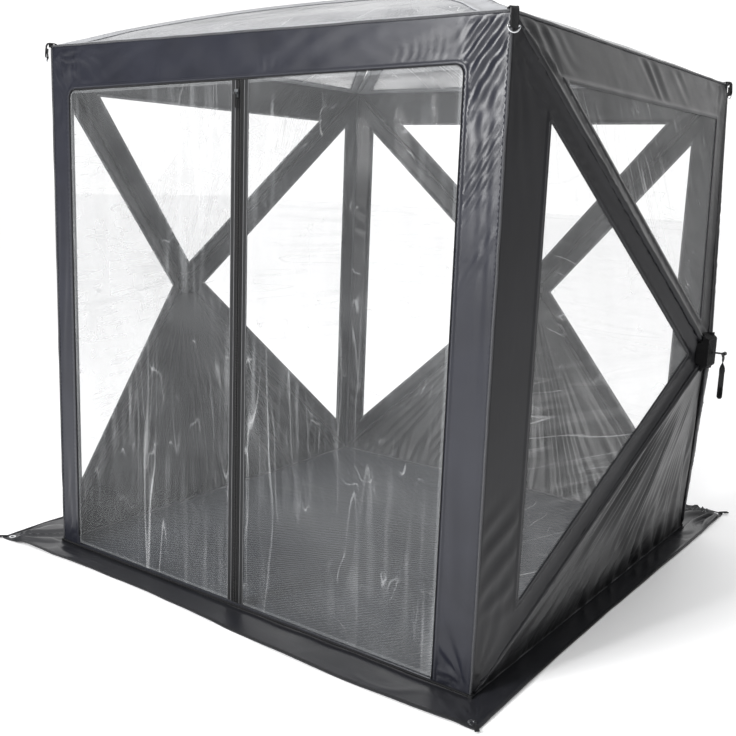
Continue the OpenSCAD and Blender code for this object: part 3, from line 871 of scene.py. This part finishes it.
def cover_piece(wall):
    """The patch over a hub: flat on the hub's face, falling to the panels and lifted over the four poles."""
    side = np.linspace(-COVER_HALF, COVER_HALF, 51)
    u, v = np.meshgrid(side, side)
    rim = np.maximum(abs(u), abs(v))
    panels = -np.maximum(wall.pop / wall.half_u * abs(u), wall.pop / wall.half_v * abs(v)) + 0.0016
    r = np.hypot(u, v)
    off = abs(abs(u) * wall.half_v - abs(v) * wall.half_u) / math.hypot(wall.half_u, wall.half_v)
    slope = wall.pop / (math.hypot(wall.half_u, wall.half_v) - PIVOT_R)
    over = 0.0095 * np.sqrt(np.clip(1 - (off / 0.012) ** 2, 0, 1)) - 0.03 * (off > 0.012)
    tubes = -(r - PIVOT_R) * slope + over
    dome = HUB_HALF + 0.0027 + 0.0006 * np.cos(rim / 0.031 * math.pi / 2) - 3.2 * np.clip(rim - 0.0315, 0, 1)
    n = np.maximum(np.maximum(panels, tubes), dome)
    for _ in range(3):  # soften the creases where the three shapes meet
        inner = (n[:-2, 1:-1] + n[2:, 1:-1] + n[1:-1, :-2] + n[1:-1, 2:]) / 4
        n[1:-1, 1:-1] = np.maximum(inner, n[1:-1, 1:-1] - 0.0008)
    cloth = Cloth()
    cloth.grid(wall.point(u, v, wall.pop + n), np.stack([u, v], -1))
    piece = solidify(cloth.build(f"{wall.name}_hub_cover", cover_cloth), 0.0006)
    place(piece, f"{wall.name}_hub")
    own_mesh(piece)


seed = 300
for wall_name, labels in POLES.items():
    for label, (su, sv) in labels.items():
        sleeve_piece(WALLS[wall_name], label, su, sv, seed)
        seed += 3
    cover_piece(WALLS[wall_name])


# ---------------------------------------------------------------- front surround
def slant(points):
    """Lifts points of the front so that the door's top edge climbs to the right."""
    points = np.array(points, float)
    x, z = points[..., 0], points[..., 2]
    rise = DOOR_CLIMB * np.clip(x - DOOR_LEFT, 0, DOOR_RIGHT - DOOR_LEFT)
    points[..., 2] = z + rise * np.clip(np.minimum(z / DOOR_TOP, (HEIGHT - z) / (HEIGHT - DOOR_TOP)), 0, 1)
    return points


def surround_relief(x, z):
    """Hanging folds down the side bands, slanting satin folds at the top right, puckers over the door."""
    side = np.minimum(x + HALF_W, HALF_W - x)
    upper = ease((z - 0.35 * HEIGHT) / (0.5 * HEIGHT))
    at_right = ease((x - DOOR_RIGHT + 0.02) / 0.03)
    d = 0.0022 * folds(z, x, 0.036, 71, 0.45, 0.3) * ease((0.12 - side) / 0.03) * (1 - 0.7 * upper * at_right)
    slanted = x * 0.84 - z * 0.54
    patchy = 0.55 + 0.45 * ease(0.5 + 1.2 * noise(x / 0.3, z / 0.3, 84))
    d += 0.0040 * upper * at_right * patchy * folds(x * 0.54 + z * 0.84, slanted, 0.027, 83, 1.1, 0.3)
    over = ease((z - DOOR_TOP + 0.01) / 0.03)
    d += 0.0005 * folds(x * 0.9 + z * 0.44, z * 0.9 - x * 0.44, 0.050, 72, 0.25, 0.2) * over
    d += 0.0008 * noise(x / 0.42, z / 0.16, 73) * over
    pucker = folds(z, x, 0.018, 75, 0.05, 0.7) * np.exp(-np.clip(z - DOOR_TOP - HEM, 0, 1) / 0.02)
    d += 0.0011 * pucker * ease((z - DOOR_TOP) / 0.006) * ease(0.2 + 1.6 * noise(x / 0.09, 0 * x, 76))
    for side_x, cz, size in ((-1, HEIGHT, 0.003), (1, HEIGHT, 0.0015), (-1, 0, 0.0035), (1, 0, 0.005)):
        d += size * fan(x, z, side_x * HALF_W, cz, 22, 0.10, 77, 0.02)
    outer = np.minimum(np.minimum(side, HEIGHT - z), z)
    opening = door_room(x, z)
    lip = LIP * (opening < HEM + 0.0004) * (z > DOOR_BOTTOM)
    return d * ease(outer / FADE) * ease((opening - HEM) / 0.012) + lip


def door_room(x, z):
    """Distance outside the door opening, whose two top corners are rounded."""
    middle = (DOOR_LEFT + DOOR_RIGHT) / 2
    past_x = abs(x - middle) - (DOOR_RIGHT - DOOR_LEFT) / 2
    past_z = np.maximum(z - DOOR_TOP, DOOR_BOTTOM - z)
    square = np.maximum(past_x, past_z)
    in_x, in_z = np.maximum(past_x + ROUND_CORNER, 0), np.maximum(z - DOOR_TOP + ROUND_CORNER, 0)
    corner = np.hypot(in_x, in_z) - ROUND_CORNER
    at_corner = (past_x > -ROUND_CORNER) & (z > DOOR_TOP - ROUND_CORNER)
    return np.where(at_corner, corner, square)


def door_loop(gap):
    """The door opening's outline, gap outside it and never below the threshold."""
    r = ROUND_CORNER + gap
    left, right, top = DOOR_LEFT + ROUND_CORNER, DOOR_RIGHT - ROUND_CORNER, DOOR_TOP - ROUND_CORNER
    arc = [math.radians(9 * k) for k in range(11)]
    loop = [(DOOR_LEFT - gap, DOOR_BOTTOM), (DOOR_RIGHT + gap, DOOR_BOTTOM)]
    loop += [(right + r * math.cos(a), top + r * math.sin(a)) for a in arc]
    loop += [(left - r * math.sin(a), top + r * math.cos(a)) for a in arc]
    return loop


def front_surround():
    foot = 0.0035
    out = [(-HALF_W, foot), (HALF_W, foot), (HALF_W, HEIGHT), (-HALF_W, HEIGHT)]
    loops = [out] + [door_loop(gap) for gap in (0, HEM, HEM + 0.0008)]
    x, z, faces = stitched(loops, lambda x, z: door_room(x, z) > 0, 0.0065)
    room = door_room(x, z)
    room = np.where(z < DOOR_BOTTOM, NO_SEAM, room)
    upright = np.maximum(DOOR_LEFT - x, x - DOOR_RIGHT) > z - DOOR_TOP
    cloth = Cloth()
    seam = np.stack([np.where(upright, z, x), room], -1)
    points = slant(np.stack([x, -HALF_D - surround_relief(x, z), z], -1))
    cloth.triangles(points, np.stack([x, z], -1), seam, faces)
    piece = solidify(cloth.build("front_surround_cloth", front_cloth, weld=False))
    place(piece, "root", ["front_surround"])


front_surround()

# ---------------------------------------------------------------- door films and the zip
TAPE_IN = 0.0006
TAPE_OUT = 0.0115
GREY_OUT = 0.0245


def door_piece(name, edge_x, sign, seed):
    """One door film, from its seam to the zip tape, with long soft folds that slant down from the top."""
    low, high = DOOR_BOTTOM + DOOR_GAP, DOOR_TOP - DOOR_GAP * 0.5
    inner = sign * (TAPE_OUT + 0.003)
    outer = edge_x - sign * DOOR_GAP * 0.4
    r = ROUND_CORNER
    arc = [math.radians(10 * k) for k in range(10)]
    loop = [(inner, low), (outer, low)]
    loop += [(outer - sign * r * (1 - math.cos(a)), high - r * (1 - math.sin(a))) for a in arc]
    loop.append((inner, high))

    def inside(x, z):
        past = sign * (x - outer) + r
        up = z - high + r
        return (past < 0) | (up < 0) | (np.hypot(past, up) < r + 1e-6)

    x, z, faces = stitched([loop], inside, 0.0085)
    from_edge = np.minimum(np.minimum(abs(x - inner), abs(x - outer)), np.minimum(z - low, high - z))
    broad = noise(x / 0.24, z / 0.3, seed)
    slanted = folds(z - 0.34 * x, x + 0.34 * z, 0.105, seed + 1, 0.5, 0.5)
    crumple = -np.abs(noise((x + 0.6 * z) / 0.09, (z - 0.5 * x) / 0.2, seed + 2))
    d = ease(from_edge / 0.10) * (0.0045 * broad + 0.0026 * slanted + 0.0020 * crumple)
    cloth = Cloth()
    points = slant(np.stack([x, -HALF_D - d, z], -1))
    cloth.triangles(points, np.stack([x + 0.6, z], -1), np.stack([z, from_edge], -1), faces)
    piece = cloth.build(name, door_film, weld=False)
    node = name.replace("_film", "")
    place(piece, node, [node])
    return low, high


def ribbon(cloth, x0, x1, low, high, depth, slot, rise=0.0):
    """A flat upright tape with its own thickness, standing on the film at both faces."""
    zs = np.linspace(low, high, steps(high - low, 0.02))
    w, c = (x1 - x0) / 2, (x1 + x0) / 2
    crown = depth + rise
    section = [(-w, -depth), (-w, depth), (-w * 0.4, crown), (w * 0.4, crown), (w, depth), (w, -depth)]
    rings = slant([[(c + a, -HALF_D - b, z) for a, b in section + section[:1]] for z in zs])
    uv = np.stack(np.broadcast_arrays(zs[:, None], np.linspace(0, 0.03, 7)[None, :]), -1)
    cloth.grid(rings, uv, slot=slot)
    for end, flip in ((0, True), (-1, False)):
        start = cloth.loose(rings[end][:-1])
        face = [start + i for i in range(6)]
        cloth.faces.append(face[::-1] if flip else face)
        cloth.slots.append(slot)


def zip_half(name, body, sign, low, high):
    """Outer tape with two raised pale lines, black tape, and a row of coil teeth at the meeting edge."""
    cloth = Cloth()
    ribbon(cloth, *sorted((sign * TAPE_OUT, sign * GREY_OUT)), low, high, 0.0006, 0, 0.0002)
    for inner in (TAPE_OUT + 0.0006, GREY_OUT - 0.0020):
        ribbon(cloth, *sorted((sign * inner, sign * (inner + 0.0016))), low, high, 0.0011, 3, 0.0004)
    ribbon(cloth, *sorted((sign * TAPE_IN, sign * TAPE_OUT)), low, high, 0.0009, 1, 0.0003)
    ring = circle(0.0011, 6)
    ring = np.vstack([ring, ring[:1]])
    pitch = 0.0036
    for k in range(int((high - low) / pitch)):
        z = low + (k + 0.5) * pitch + (pitch / 2 if sign > 0 else 0)
        for face in (-1, 1):
            y = -HALF_D + face * 0.0014
            spots = [(sign * 0.0008, 0.6), (sign * 0.0012, 1.0), (sign * 0.0036, 1.0), (sign * 0.0046, 0.5)]
            grid = slant([[(x, y + a * s, z + b * s) for a, b in ring] for x, s in spots])
            cloth.grid(grid if sign > 0 else grid[::-1], np.zeros((4, 7, 2)), slot=2)
    piece = cloth.build(name, [zip_tape_cloth, zip_tape_black, coil_nylon, zip_line], weld=False)
    return place(piece, body, [body])


low, high = door_piece("left_door_flap_film", DOOR_LEFT, -1, 201)
door_piece("right_door_flap_film", DOOR_RIGHT, 1, 231)
zip_half("left_zip_tape", "left_door_flap", -1, low, high)
zip_half("right_zip_tape", "right_door_flap", 1, low, high)


# ---------------------------------------------------------------- piping, loops and straps
def wobble(points, size, seed):
    points = np.array(points, float)
    k = np.arange(len(points))
    for axis in range(3):
        points[:, axis] += size * noise(k / 4.0, k * 0 + axis, seed + axis)
    return points


def line(a, b, step=0.012):
    a, b = np.array(a, float), np.array(b, float)
    return a + (b - a) * np.linspace(0, 1, steps(np.linalg.norm(b - a), step))[:, None]


PIPING_R = 0.0027


def edge_piping():
    """Piping up the corners, round the top and three sides of the floor, and the door's binding."""
    paths = []
    seed = 500
    foot = 0.004
    for sx in (-1, 1):
        for sy in (-1, 1):
            x, y = sx * HALF_W, sy * HALF_D
            upright = wobble(line((x, y, foot), (x, y, HEIGHT)), 0.0006, seed)
            paths.append((upright, circle(PIPING_R), {"ups": (1, 0, 0)}))
            seed += 5
    corners = [(-HALF_W, -HALF_D), (HALF_W, -HALF_D), (HALF_W, HALF_D), (-HALF_W, HALF_D)]
    for i in range(4):
        a, b = corners[i], corners[(i + 1) % 4]
        paths.append((wobble(line((*a, HEIGHT), (*b, HEIGHT)), 0.0006, seed), circle(PIPING_R), {}))
        seed += 5
    for i in range(1, 4):
        a, b = corners[i], corners[(i + 1) % 4]
        paths.append((wobble(line((*a, 0.0045), (*b, 0.0045)), 0.0004, seed), circle(0.0028, flat=0.8), {}))
        seed += 5
    piece = tube_object("edge_piping", piping_cord, paths)
    place(piece, "root", ["edge_seams"])
    front = -HALF_D - 0.0016
    rim = door_loop(0.0012)[1:] + [(DOOR_LEFT - 0.0012, DOOR_BOTTOM)]
    rim = np.concatenate([line((*a, 0), (*b, 0), 0.02)[:-1] for a, b in zip(rim, rim[1:])])
    rim = slant(np.stack([rim[:, 0], np.full(len(rim), front), rim[:, 1]], -1))
    paths = [(line((-HALF_W, front, 0.0068), (HALF_W, front, 0.0068)), circle(0.0026, 8), {})]
    paths.append((rim, circle(0.0012, 8), {"ups": (0, 1, 0)}))
    place(tube_object("door_binding", black_webbing, paths), "root")


edge_piping()


BEND_R = 0.0026


def webbing_loops():
    """A folded webbing tab over each top corner and round its ring's bar."""
    strap = slab(0.0145, 0.0018)
    # outward and up from the corner, before and after the bend round the ring's bar
    over_corner = [(-0.012, 0.0050), (-0.004, 0.0066), (0.004, 0.0068), (0.0095, 0.0055), (0.0125, 0.001)]
    over_corner += [(0.0135, -0.008), (0.0145, -0.018)]
    back_up = [(0.0105, -0.016), (0.0095, -0.006)]
    paths = []
    for sx in (-1, 1):
        for sy in (-1, 1):
            lo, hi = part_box(f"{'front' if sy < 0 else 'rear'}_{'left' if sx < 0 else 'right'}_guy_ring")
            out = Vector((sx, sy, 0)).normalized()
            bar = Vector(((lo.x + hi.x) / 2, (lo.y + hi.y) / 2, hi.z - 0.0015))
            corner = Vector((sx * HALF_W, sy * HALF_D, HEIGHT))
            reach = (bar - corner).dot(out)
            bar = corner + out * reach + Vector((0, 0, bar.z - HEIGHT))
            points = [corner + out * a + Vector((0, 0, b)) for a, b in over_corner]
            for k in range(0, 9):
                angle = math.radians(-10 - 25 * k)
                around = out * (BEND_R * math.cos(angle)) + Vector((0, 0, BEND_R * math.sin(angle)))
                points.append(bar + around)
            points += [corner + out * a + Vector((0, 0, b)) for a, b in back_up]
            across = Vector((-out.y, out.x, 0))
            ahead = np.gradient(np.array(points), axis=0)
            normals = [tuple(across.cross(Vector(d)).normalized()) for d in ahead]
            paths.append((np.array(points), strap, {"ups": np.array(normals)}))
    place(tube_object("guy_webbing", black_webbing, paths), "root", ["guy_loops"])


webbing_loops()


LOOP_R = 0.0034
FALL_COUNT = 30
TWIST = 2.6  # radians


def pull_strap(wall, inside):
    """Webbing looped on the stud's bar, twisted by less than half a turn, with its end folded back."""
    node = f"{wall.name}_pull_strap"
    lo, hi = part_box(node)
    top = np.array((lo + hi) / 2)
    down, side = np.array((0, 0, -1.0)), wall.u
    top[2] = hi.z - 0.004
    face = np.cross(side, down) if inside else wall.n
    def bend(start, stop, along, up, out, deep):
        """An arc in the strap's own plane, along and out from the bar."""
        angles = np.radians(np.arange(start, stop, 20))
        return [top + down * (along + up * math.sin(a)) + face * (out + deep * math.cos(a)) for a in angles]

    loop = bend(-60, 221, 0.0, -LOOP_R, 0.0, LOOP_R)
    main = [top + down * s - face * 0.0006 for s in np.linspace(0.008, 0.092, FALL_COUNT)]
    grip = bend(-10, 191, 0.0940, 0.0018, 0.0010, -0.0017)
    tail = [top + down * s + face * 0.0027 for s in (0.089, 0.082, 0.076)]
    points = np.array(loop + main + grip + tail)
    ups = np.array([-np.cross(side, t) for t in np.gradient(points, axis=0)])
    ups /= np.linalg.norm(ups, axis=1)[:, None]
    count = len(points)
    share = np.zeros(count)
    share[len(loop):len(loop) + FALL_COUNT] = np.linspace(0, 1, FALL_COUNT)
    share[len(loop) + FALL_COUNT:] = 1
    twist = TWIST * ease((share - 0.06) / 0.40)
    pinch = 1 - 0.25 * np.exp(-((share - 0.24) / 0.16) ** 2)
    options = {"ups": ups, "twist": twist, "widths": np.stack([pinch, np.ones(count)], -1)}
    piece = tube_object(node + "_webbing", black_webbing, [(points, slab(0.0150, 0.0016), options)])
    place(piece, node, [node])


for wall_name in WALLS:
    pull_strap(WALLS[wall_name], wall_name == "roof")


# ---------------------------------------------------------------- ground
def ground_pieces():
    """Groundsheet, and the flap outside it with folds that radiate at its corners and a bound edge."""
    xs = np.linspace(-HALF_W + 0.002, HALF_W - 0.002, 121)
    ys = np.linspace(-HALF_D + 0.002, HALF_D - 0.002, 121)
    x, y = np.meshgrid(xs, ys)
    edge = np.minimum(np.minimum(HALF_W - abs(x), HALF_D - abs(y)) / 0.05, 1)
    z = 0.0021 + 0.0009 * edge * noise(x / 0.16, y / 0.16, 900)
    z = z + 0.0004 * edge * noise(x / 0.05, y / 0.05, 901)
    cloth = Cloth()
    cloth.grid(np.stack([x, y, z], -1), np.stack([x, y], -1))
    piece = solidify(cloth.build("groundsheet", ground_weave), 0.0008)
    place(piece, "root", ["floor_sheet"])

    low, high = FLAP_LOW, FLAP_HIGH
    tips = [(low.x, low.y), (high.x, low.y), (high.x, high.y), (low.x, high.y)]

    def flap_z(x, y):
        out_x = np.where(x > 0, (x - HALF_W) / (high.x - HALF_W), (-HALF_W - x) / (-HALF_W - low.x))
        out_y = np.where(y > 0, (y - HALF_D) / (high.y - HALF_D), (-HALF_D - y) / (-HALF_D - low.y))
        share = np.clip(np.maximum(out_x, out_y), 0, 1)
        lift = 0.0026 + 0.0012 * noise(x / 0.07, y / 0.07, 905)
        along = np.where(out_x > out_y, y, x)
        lift = lift + ease(share * 1.4) * 0.0030 * (0.5 + 0.5 * noise(along / 0.13, share * 0.6, 906))
        for k, (tx, ty) in enumerate(tips):
            size = (0.5, 0.12, 1.0, 1.0)[k]
            pull = fan(x, y, tx, ty, 17, 0.16, 910 + k, 0.02)
            rise = size * 0.0125 * (pull + np.abs(pull))
            lift = lift + rise * ease(share * 4) * ease((1 - share) / 0.10 + 0.25)
        for x0 in (low.x + EYELET_IN, high.x - EYELET_IN):
            for y0 in (low.y + EYELET_IN, high.y - EYELET_IN):
                lift = 0.0022 + (lift - 0.0022) * ease((np.hypot(x - x0, y - y0) - 0.006) / 0.03)
        return np.clip(lift, 0.0012, 0.03) * (0.45 + 0.55 * ease(share * 4)) + 0.0004

    def outline(i, t):
        """A point of the flap's outer edge; the edges wander in and out between the tips."""
        a, b = np.array(tips[i]), np.array(tips[(i + 1) % 4])
        inward = np.array([-(b - a)[1], (b - a)[0]]) / np.linalg.norm(b - a)
        bow = (0.008, 0.004, 0.045, 0.030)[i] * np.sin(math.pi * t) ** 2
        sway = ease(np.minimum(t, 1 - t) / 0.06) * np.sin(2 * math.pi * t)
        bow = bow + (0.014, 0.003, 0.01, 0.01)[i] * sway
        return a + (b - a) * t[:, None] + inward * bow[:, None]

    cloth = Cloth()
    w, d = HALF_W - 0.004, HALF_D - 0.004
    inside = [(-w, -d), (w, -d), (w, d), (-w, d)]
    rim = []
    for i in range(4):
        t = np.linspace(0, 1, 200)
        outer = outline(i, t)
        a, b = np.array(inside[i]), np.array(inside[(i + 1) % 4])
        k = np.linspace(0, 1, 24)[:, None, None]
        flat = (1 - k) * outer + k * (a + (b - a) * t[:, None])
        x, y = flat[..., 0], flat[..., 1]
        cloth.grid(np.stack([x, y, flap_z(x, y)], -1), flat)
        rim.append(outer[:-1])
    piece = solidify(cloth.build("ground_flap_cloth", flap_cloth), 0.0008)
    place(piece, "root", ["ground_flap"])
    rim = np.concatenate(rim)
    path = np.column_stack([rim, flap_z(rim[:, 0], rim[:, 1]) + 0.0002])
    bound = [(path, slab(0.008, 0.0026, 0.1), {"closed": True})]
    binding = tube_object("flap_binding", flap_binding_cloth, bound)
    place(binding, "root")
    peg_loops(tips, flap_z)


def peg_loops(tips, flap_z):
    """A short folded webbing loop stitched to each tip of the flap."""
    paths = []
    for k, (x, y) in enumerate(tips):
        out = np.array([math.copysign(1, x), math.copysign(1, y)]) / math.sqrt(2)
        tip = np.array([x, y]) + out * 0.001
        base = float(flap_z(x, y)) + 0.0012
        reach = 0.010 if k == 1 else 0.020
        spots = [(-0.009, 0.0022), (0.0, 0.0024), (reach * 0.6, 0.0030), (reach * 0.92, 0.0026)]
        spots += [(reach, 0.0012), (reach * 0.92, -0.0002), (reach * 0.6, 0.0), (0.004, 0.0)]
        points = np.array([(*(tip + out * a), base + b) for a, b in spots])
        across = np.array([-out[1], out[0], 0])
        ups = np.array([np.cross(across, v) for v in np.gradient(points, axis=0)])
        ups /= np.linalg.norm(ups, axis=1)[:, None]
        paths.append((points, slab(0.009, 0.0012), {"ups": ups}))
    place(tube_object("peg_loops", black_webbing, paths), "root")


ground_pieces()

# ---------------------------------------------------------------- finishes for the CAD parts that stay
FINISHES = {
    "corner_anchors": hub_plastic, "peg_eyelets": chrome, "zip_slider": grey_metal, "zip_pull": coil_nylon,
    "front_left_guy_ring": chrome, "front_right_guy_ring": chrome, "rear_left_guy_ring": chrome,
    "rear_right_guy_ring": chrome,
}
for wall_name, labels in POLES.items():
    FINISHES[f"{wall_name}_hub"] = hub_plastic
    FINISHES[f"{wall_name}_hub_pins"] = pin_metal
    for label in labels:
        FINISHES[f"{wall_name}_{label}_pole"] = pole_glass
for node, material in FINISHES.items():
    mesh = frame["nodes"][node].data
    mesh.materials.clear()
    mesh.materials.append(material)


# ---------------------------------------------------------------- studio
def fade(nodes, links, value, low, high, to_low, to_high):
    """A value's place between low and high, as a number between to_low and to_high."""
    n = nodes.new("ShaderNodeMapRange")
    for key, amount in (("From Min", low), ("From Max", high), ("To Min", to_low), ("To Max", to_high)):
        n.inputs[key].default_value = amount
    links.new(value, n.inputs["Value"])
    return n.outputs[0]


def mixed(nodes, links, kind, factor, first, second):
    """Two colours mixed; each input is a number, a colour or another node's output."""
    n = nodes.new("ShaderNodeMixRGB")
    n.blend_type = kind
    for socket, value in zip(n.inputs, (factor, first, second)):
        if isinstance(value, bpy.types.NodeSocket):
            links.new(value, socket)
        else:
            socket.default_value = value
    return n.outputs[0]


def studio_world():
    """A dark-to-bright room that lights and mirrors, and a plain white one for the camera."""
    world = bpy.data.worlds.new("studio")
    bpy.context.scene.world = world
    world.use_nodes = True
    nodes, links = world.node_tree.nodes, world.node_tree.links
    back = nodes["Background"]
    where = nodes.new("ShaderNodeTexCoord")
    split = nodes.new("ShaderNodeSeparateXYZ")
    ramp = nodes.new("ShaderNodeValToRGB")
    links.new(where.outputs["Generated"], split.inputs[0])
    links.new(split.outputs[2], ramp.inputs[0])
    stops = ((0.0, 0.40), (0.10, 0.30), (0.24, 0.14), (0.50, 0.30), (0.66, 1.3), (0.95, 1.5), (1.0, 1.5))
    ends = ramp.color_ramp.elements
    for spot, (position, level) in ((ends[0], stops[0]), (ends[1], stops[-1])):
        spot.position, spot.color = position, (level, level, level, 1)
    for position, level in stops[1:-1]:
        ends.new(position).color = (level, level, level, 1)
    x, y = split.outputs[0], split.outputs[1]
    behind = fade(nodes, links, y, -0.15, 0.35, 0.0, 1.0)  # the half of the room behind the part is white
    dim = fade(nodes, links, x, -0.95, -0.10, 0.55, 1.0)  # the front left of the room is darker
    shaded = mixed(nodes, links, "MULTIPLY", 1.0, ramp.outputs[0], dim)
    room = mixed(nodes, links, "MIX", behind, shaded, (1.15, 1.15, 1.15, 1))
    aside = fade(nodes, links, x, 0.15, 0.50, 1.0, 0.50)  # and so is the far right of it
    links.new(mixed(nodes, links, "MULTIPLY", 1.0, room, aside), back.inputs[0])
    back.inputs[1].default_value = 1.0
    white = nodes.new("ShaderNodeBackground")
    white.inputs[0].default_value, white.inputs[1].default_value = (1, 1, 1, 1), 1.15
    seen = nodes.new("ShaderNodeLightPath")
    mix = nodes.new("ShaderNodeMixShader")
    links.new(seen.outputs["Is Camera Ray"], mix.inputs[0])
    links.new(back.outputs[0], mix.inputs[1])
    links.new(white.outputs[0], mix.inputs[2])
    links.new(mix.outputs[0], nodes["World Output"].inputs[0])


def studio():
    half = 30
    corners = [(-half, -half, 0), (half, -half, 0), (half, half, 0), (-half, half, 0)]
    mesh = bpy.data.meshes.new("studio_floor")
    mesh.from_pydata(corners, [], [(0, 1, 2, 3)])
    floor = bpy.data.objects.new("studio_floor", mesh)
    pale = Mat("studio_paper", (0.92, 0.92, 0.925), 0.8, Specular_IOR_Level=0.2)
    pale.set("Emission Color", (1, 1, 1, 1))
    pale.set("Emission Strength", 0.18)
    pale.feed("Normal", pale.bump(pale.noise(pale.objects(), 300, 2), 0.0001))
    mesh.materials.append(pale.material)
    bpy.context.scene.collection.objects.link(floor)
    studio_world()
    lamps = [
        ("key", (-0.40, -3.3, 1.90), (0.60, -0.625, 1.15), 0.8, 1.6, 125),
        ("top", (0.2, 0.2, 4.5), (0, 0, 0.6), 3.0, 3.0, 14),
    ]
    for name, at, aim, wide, tall, power in lamps:
        data = bpy.data.lights.new(name, "AREA")
        data.shape, data.size, data.size_y, data.energy = "RECTANGLE", wide, tall, power
        lamp = bpy.data.objects.new(name, data)
        lamp.location = at
        lamp.rotation_euler = (Vector(aim) - Vector(at)).to_track_quat("-Z", "Y").to_euler()
        bpy.context.scene.collection.objects.link(lamp)
    bpy.context.scene.view_settings.view_transform = "Standard"


studio()
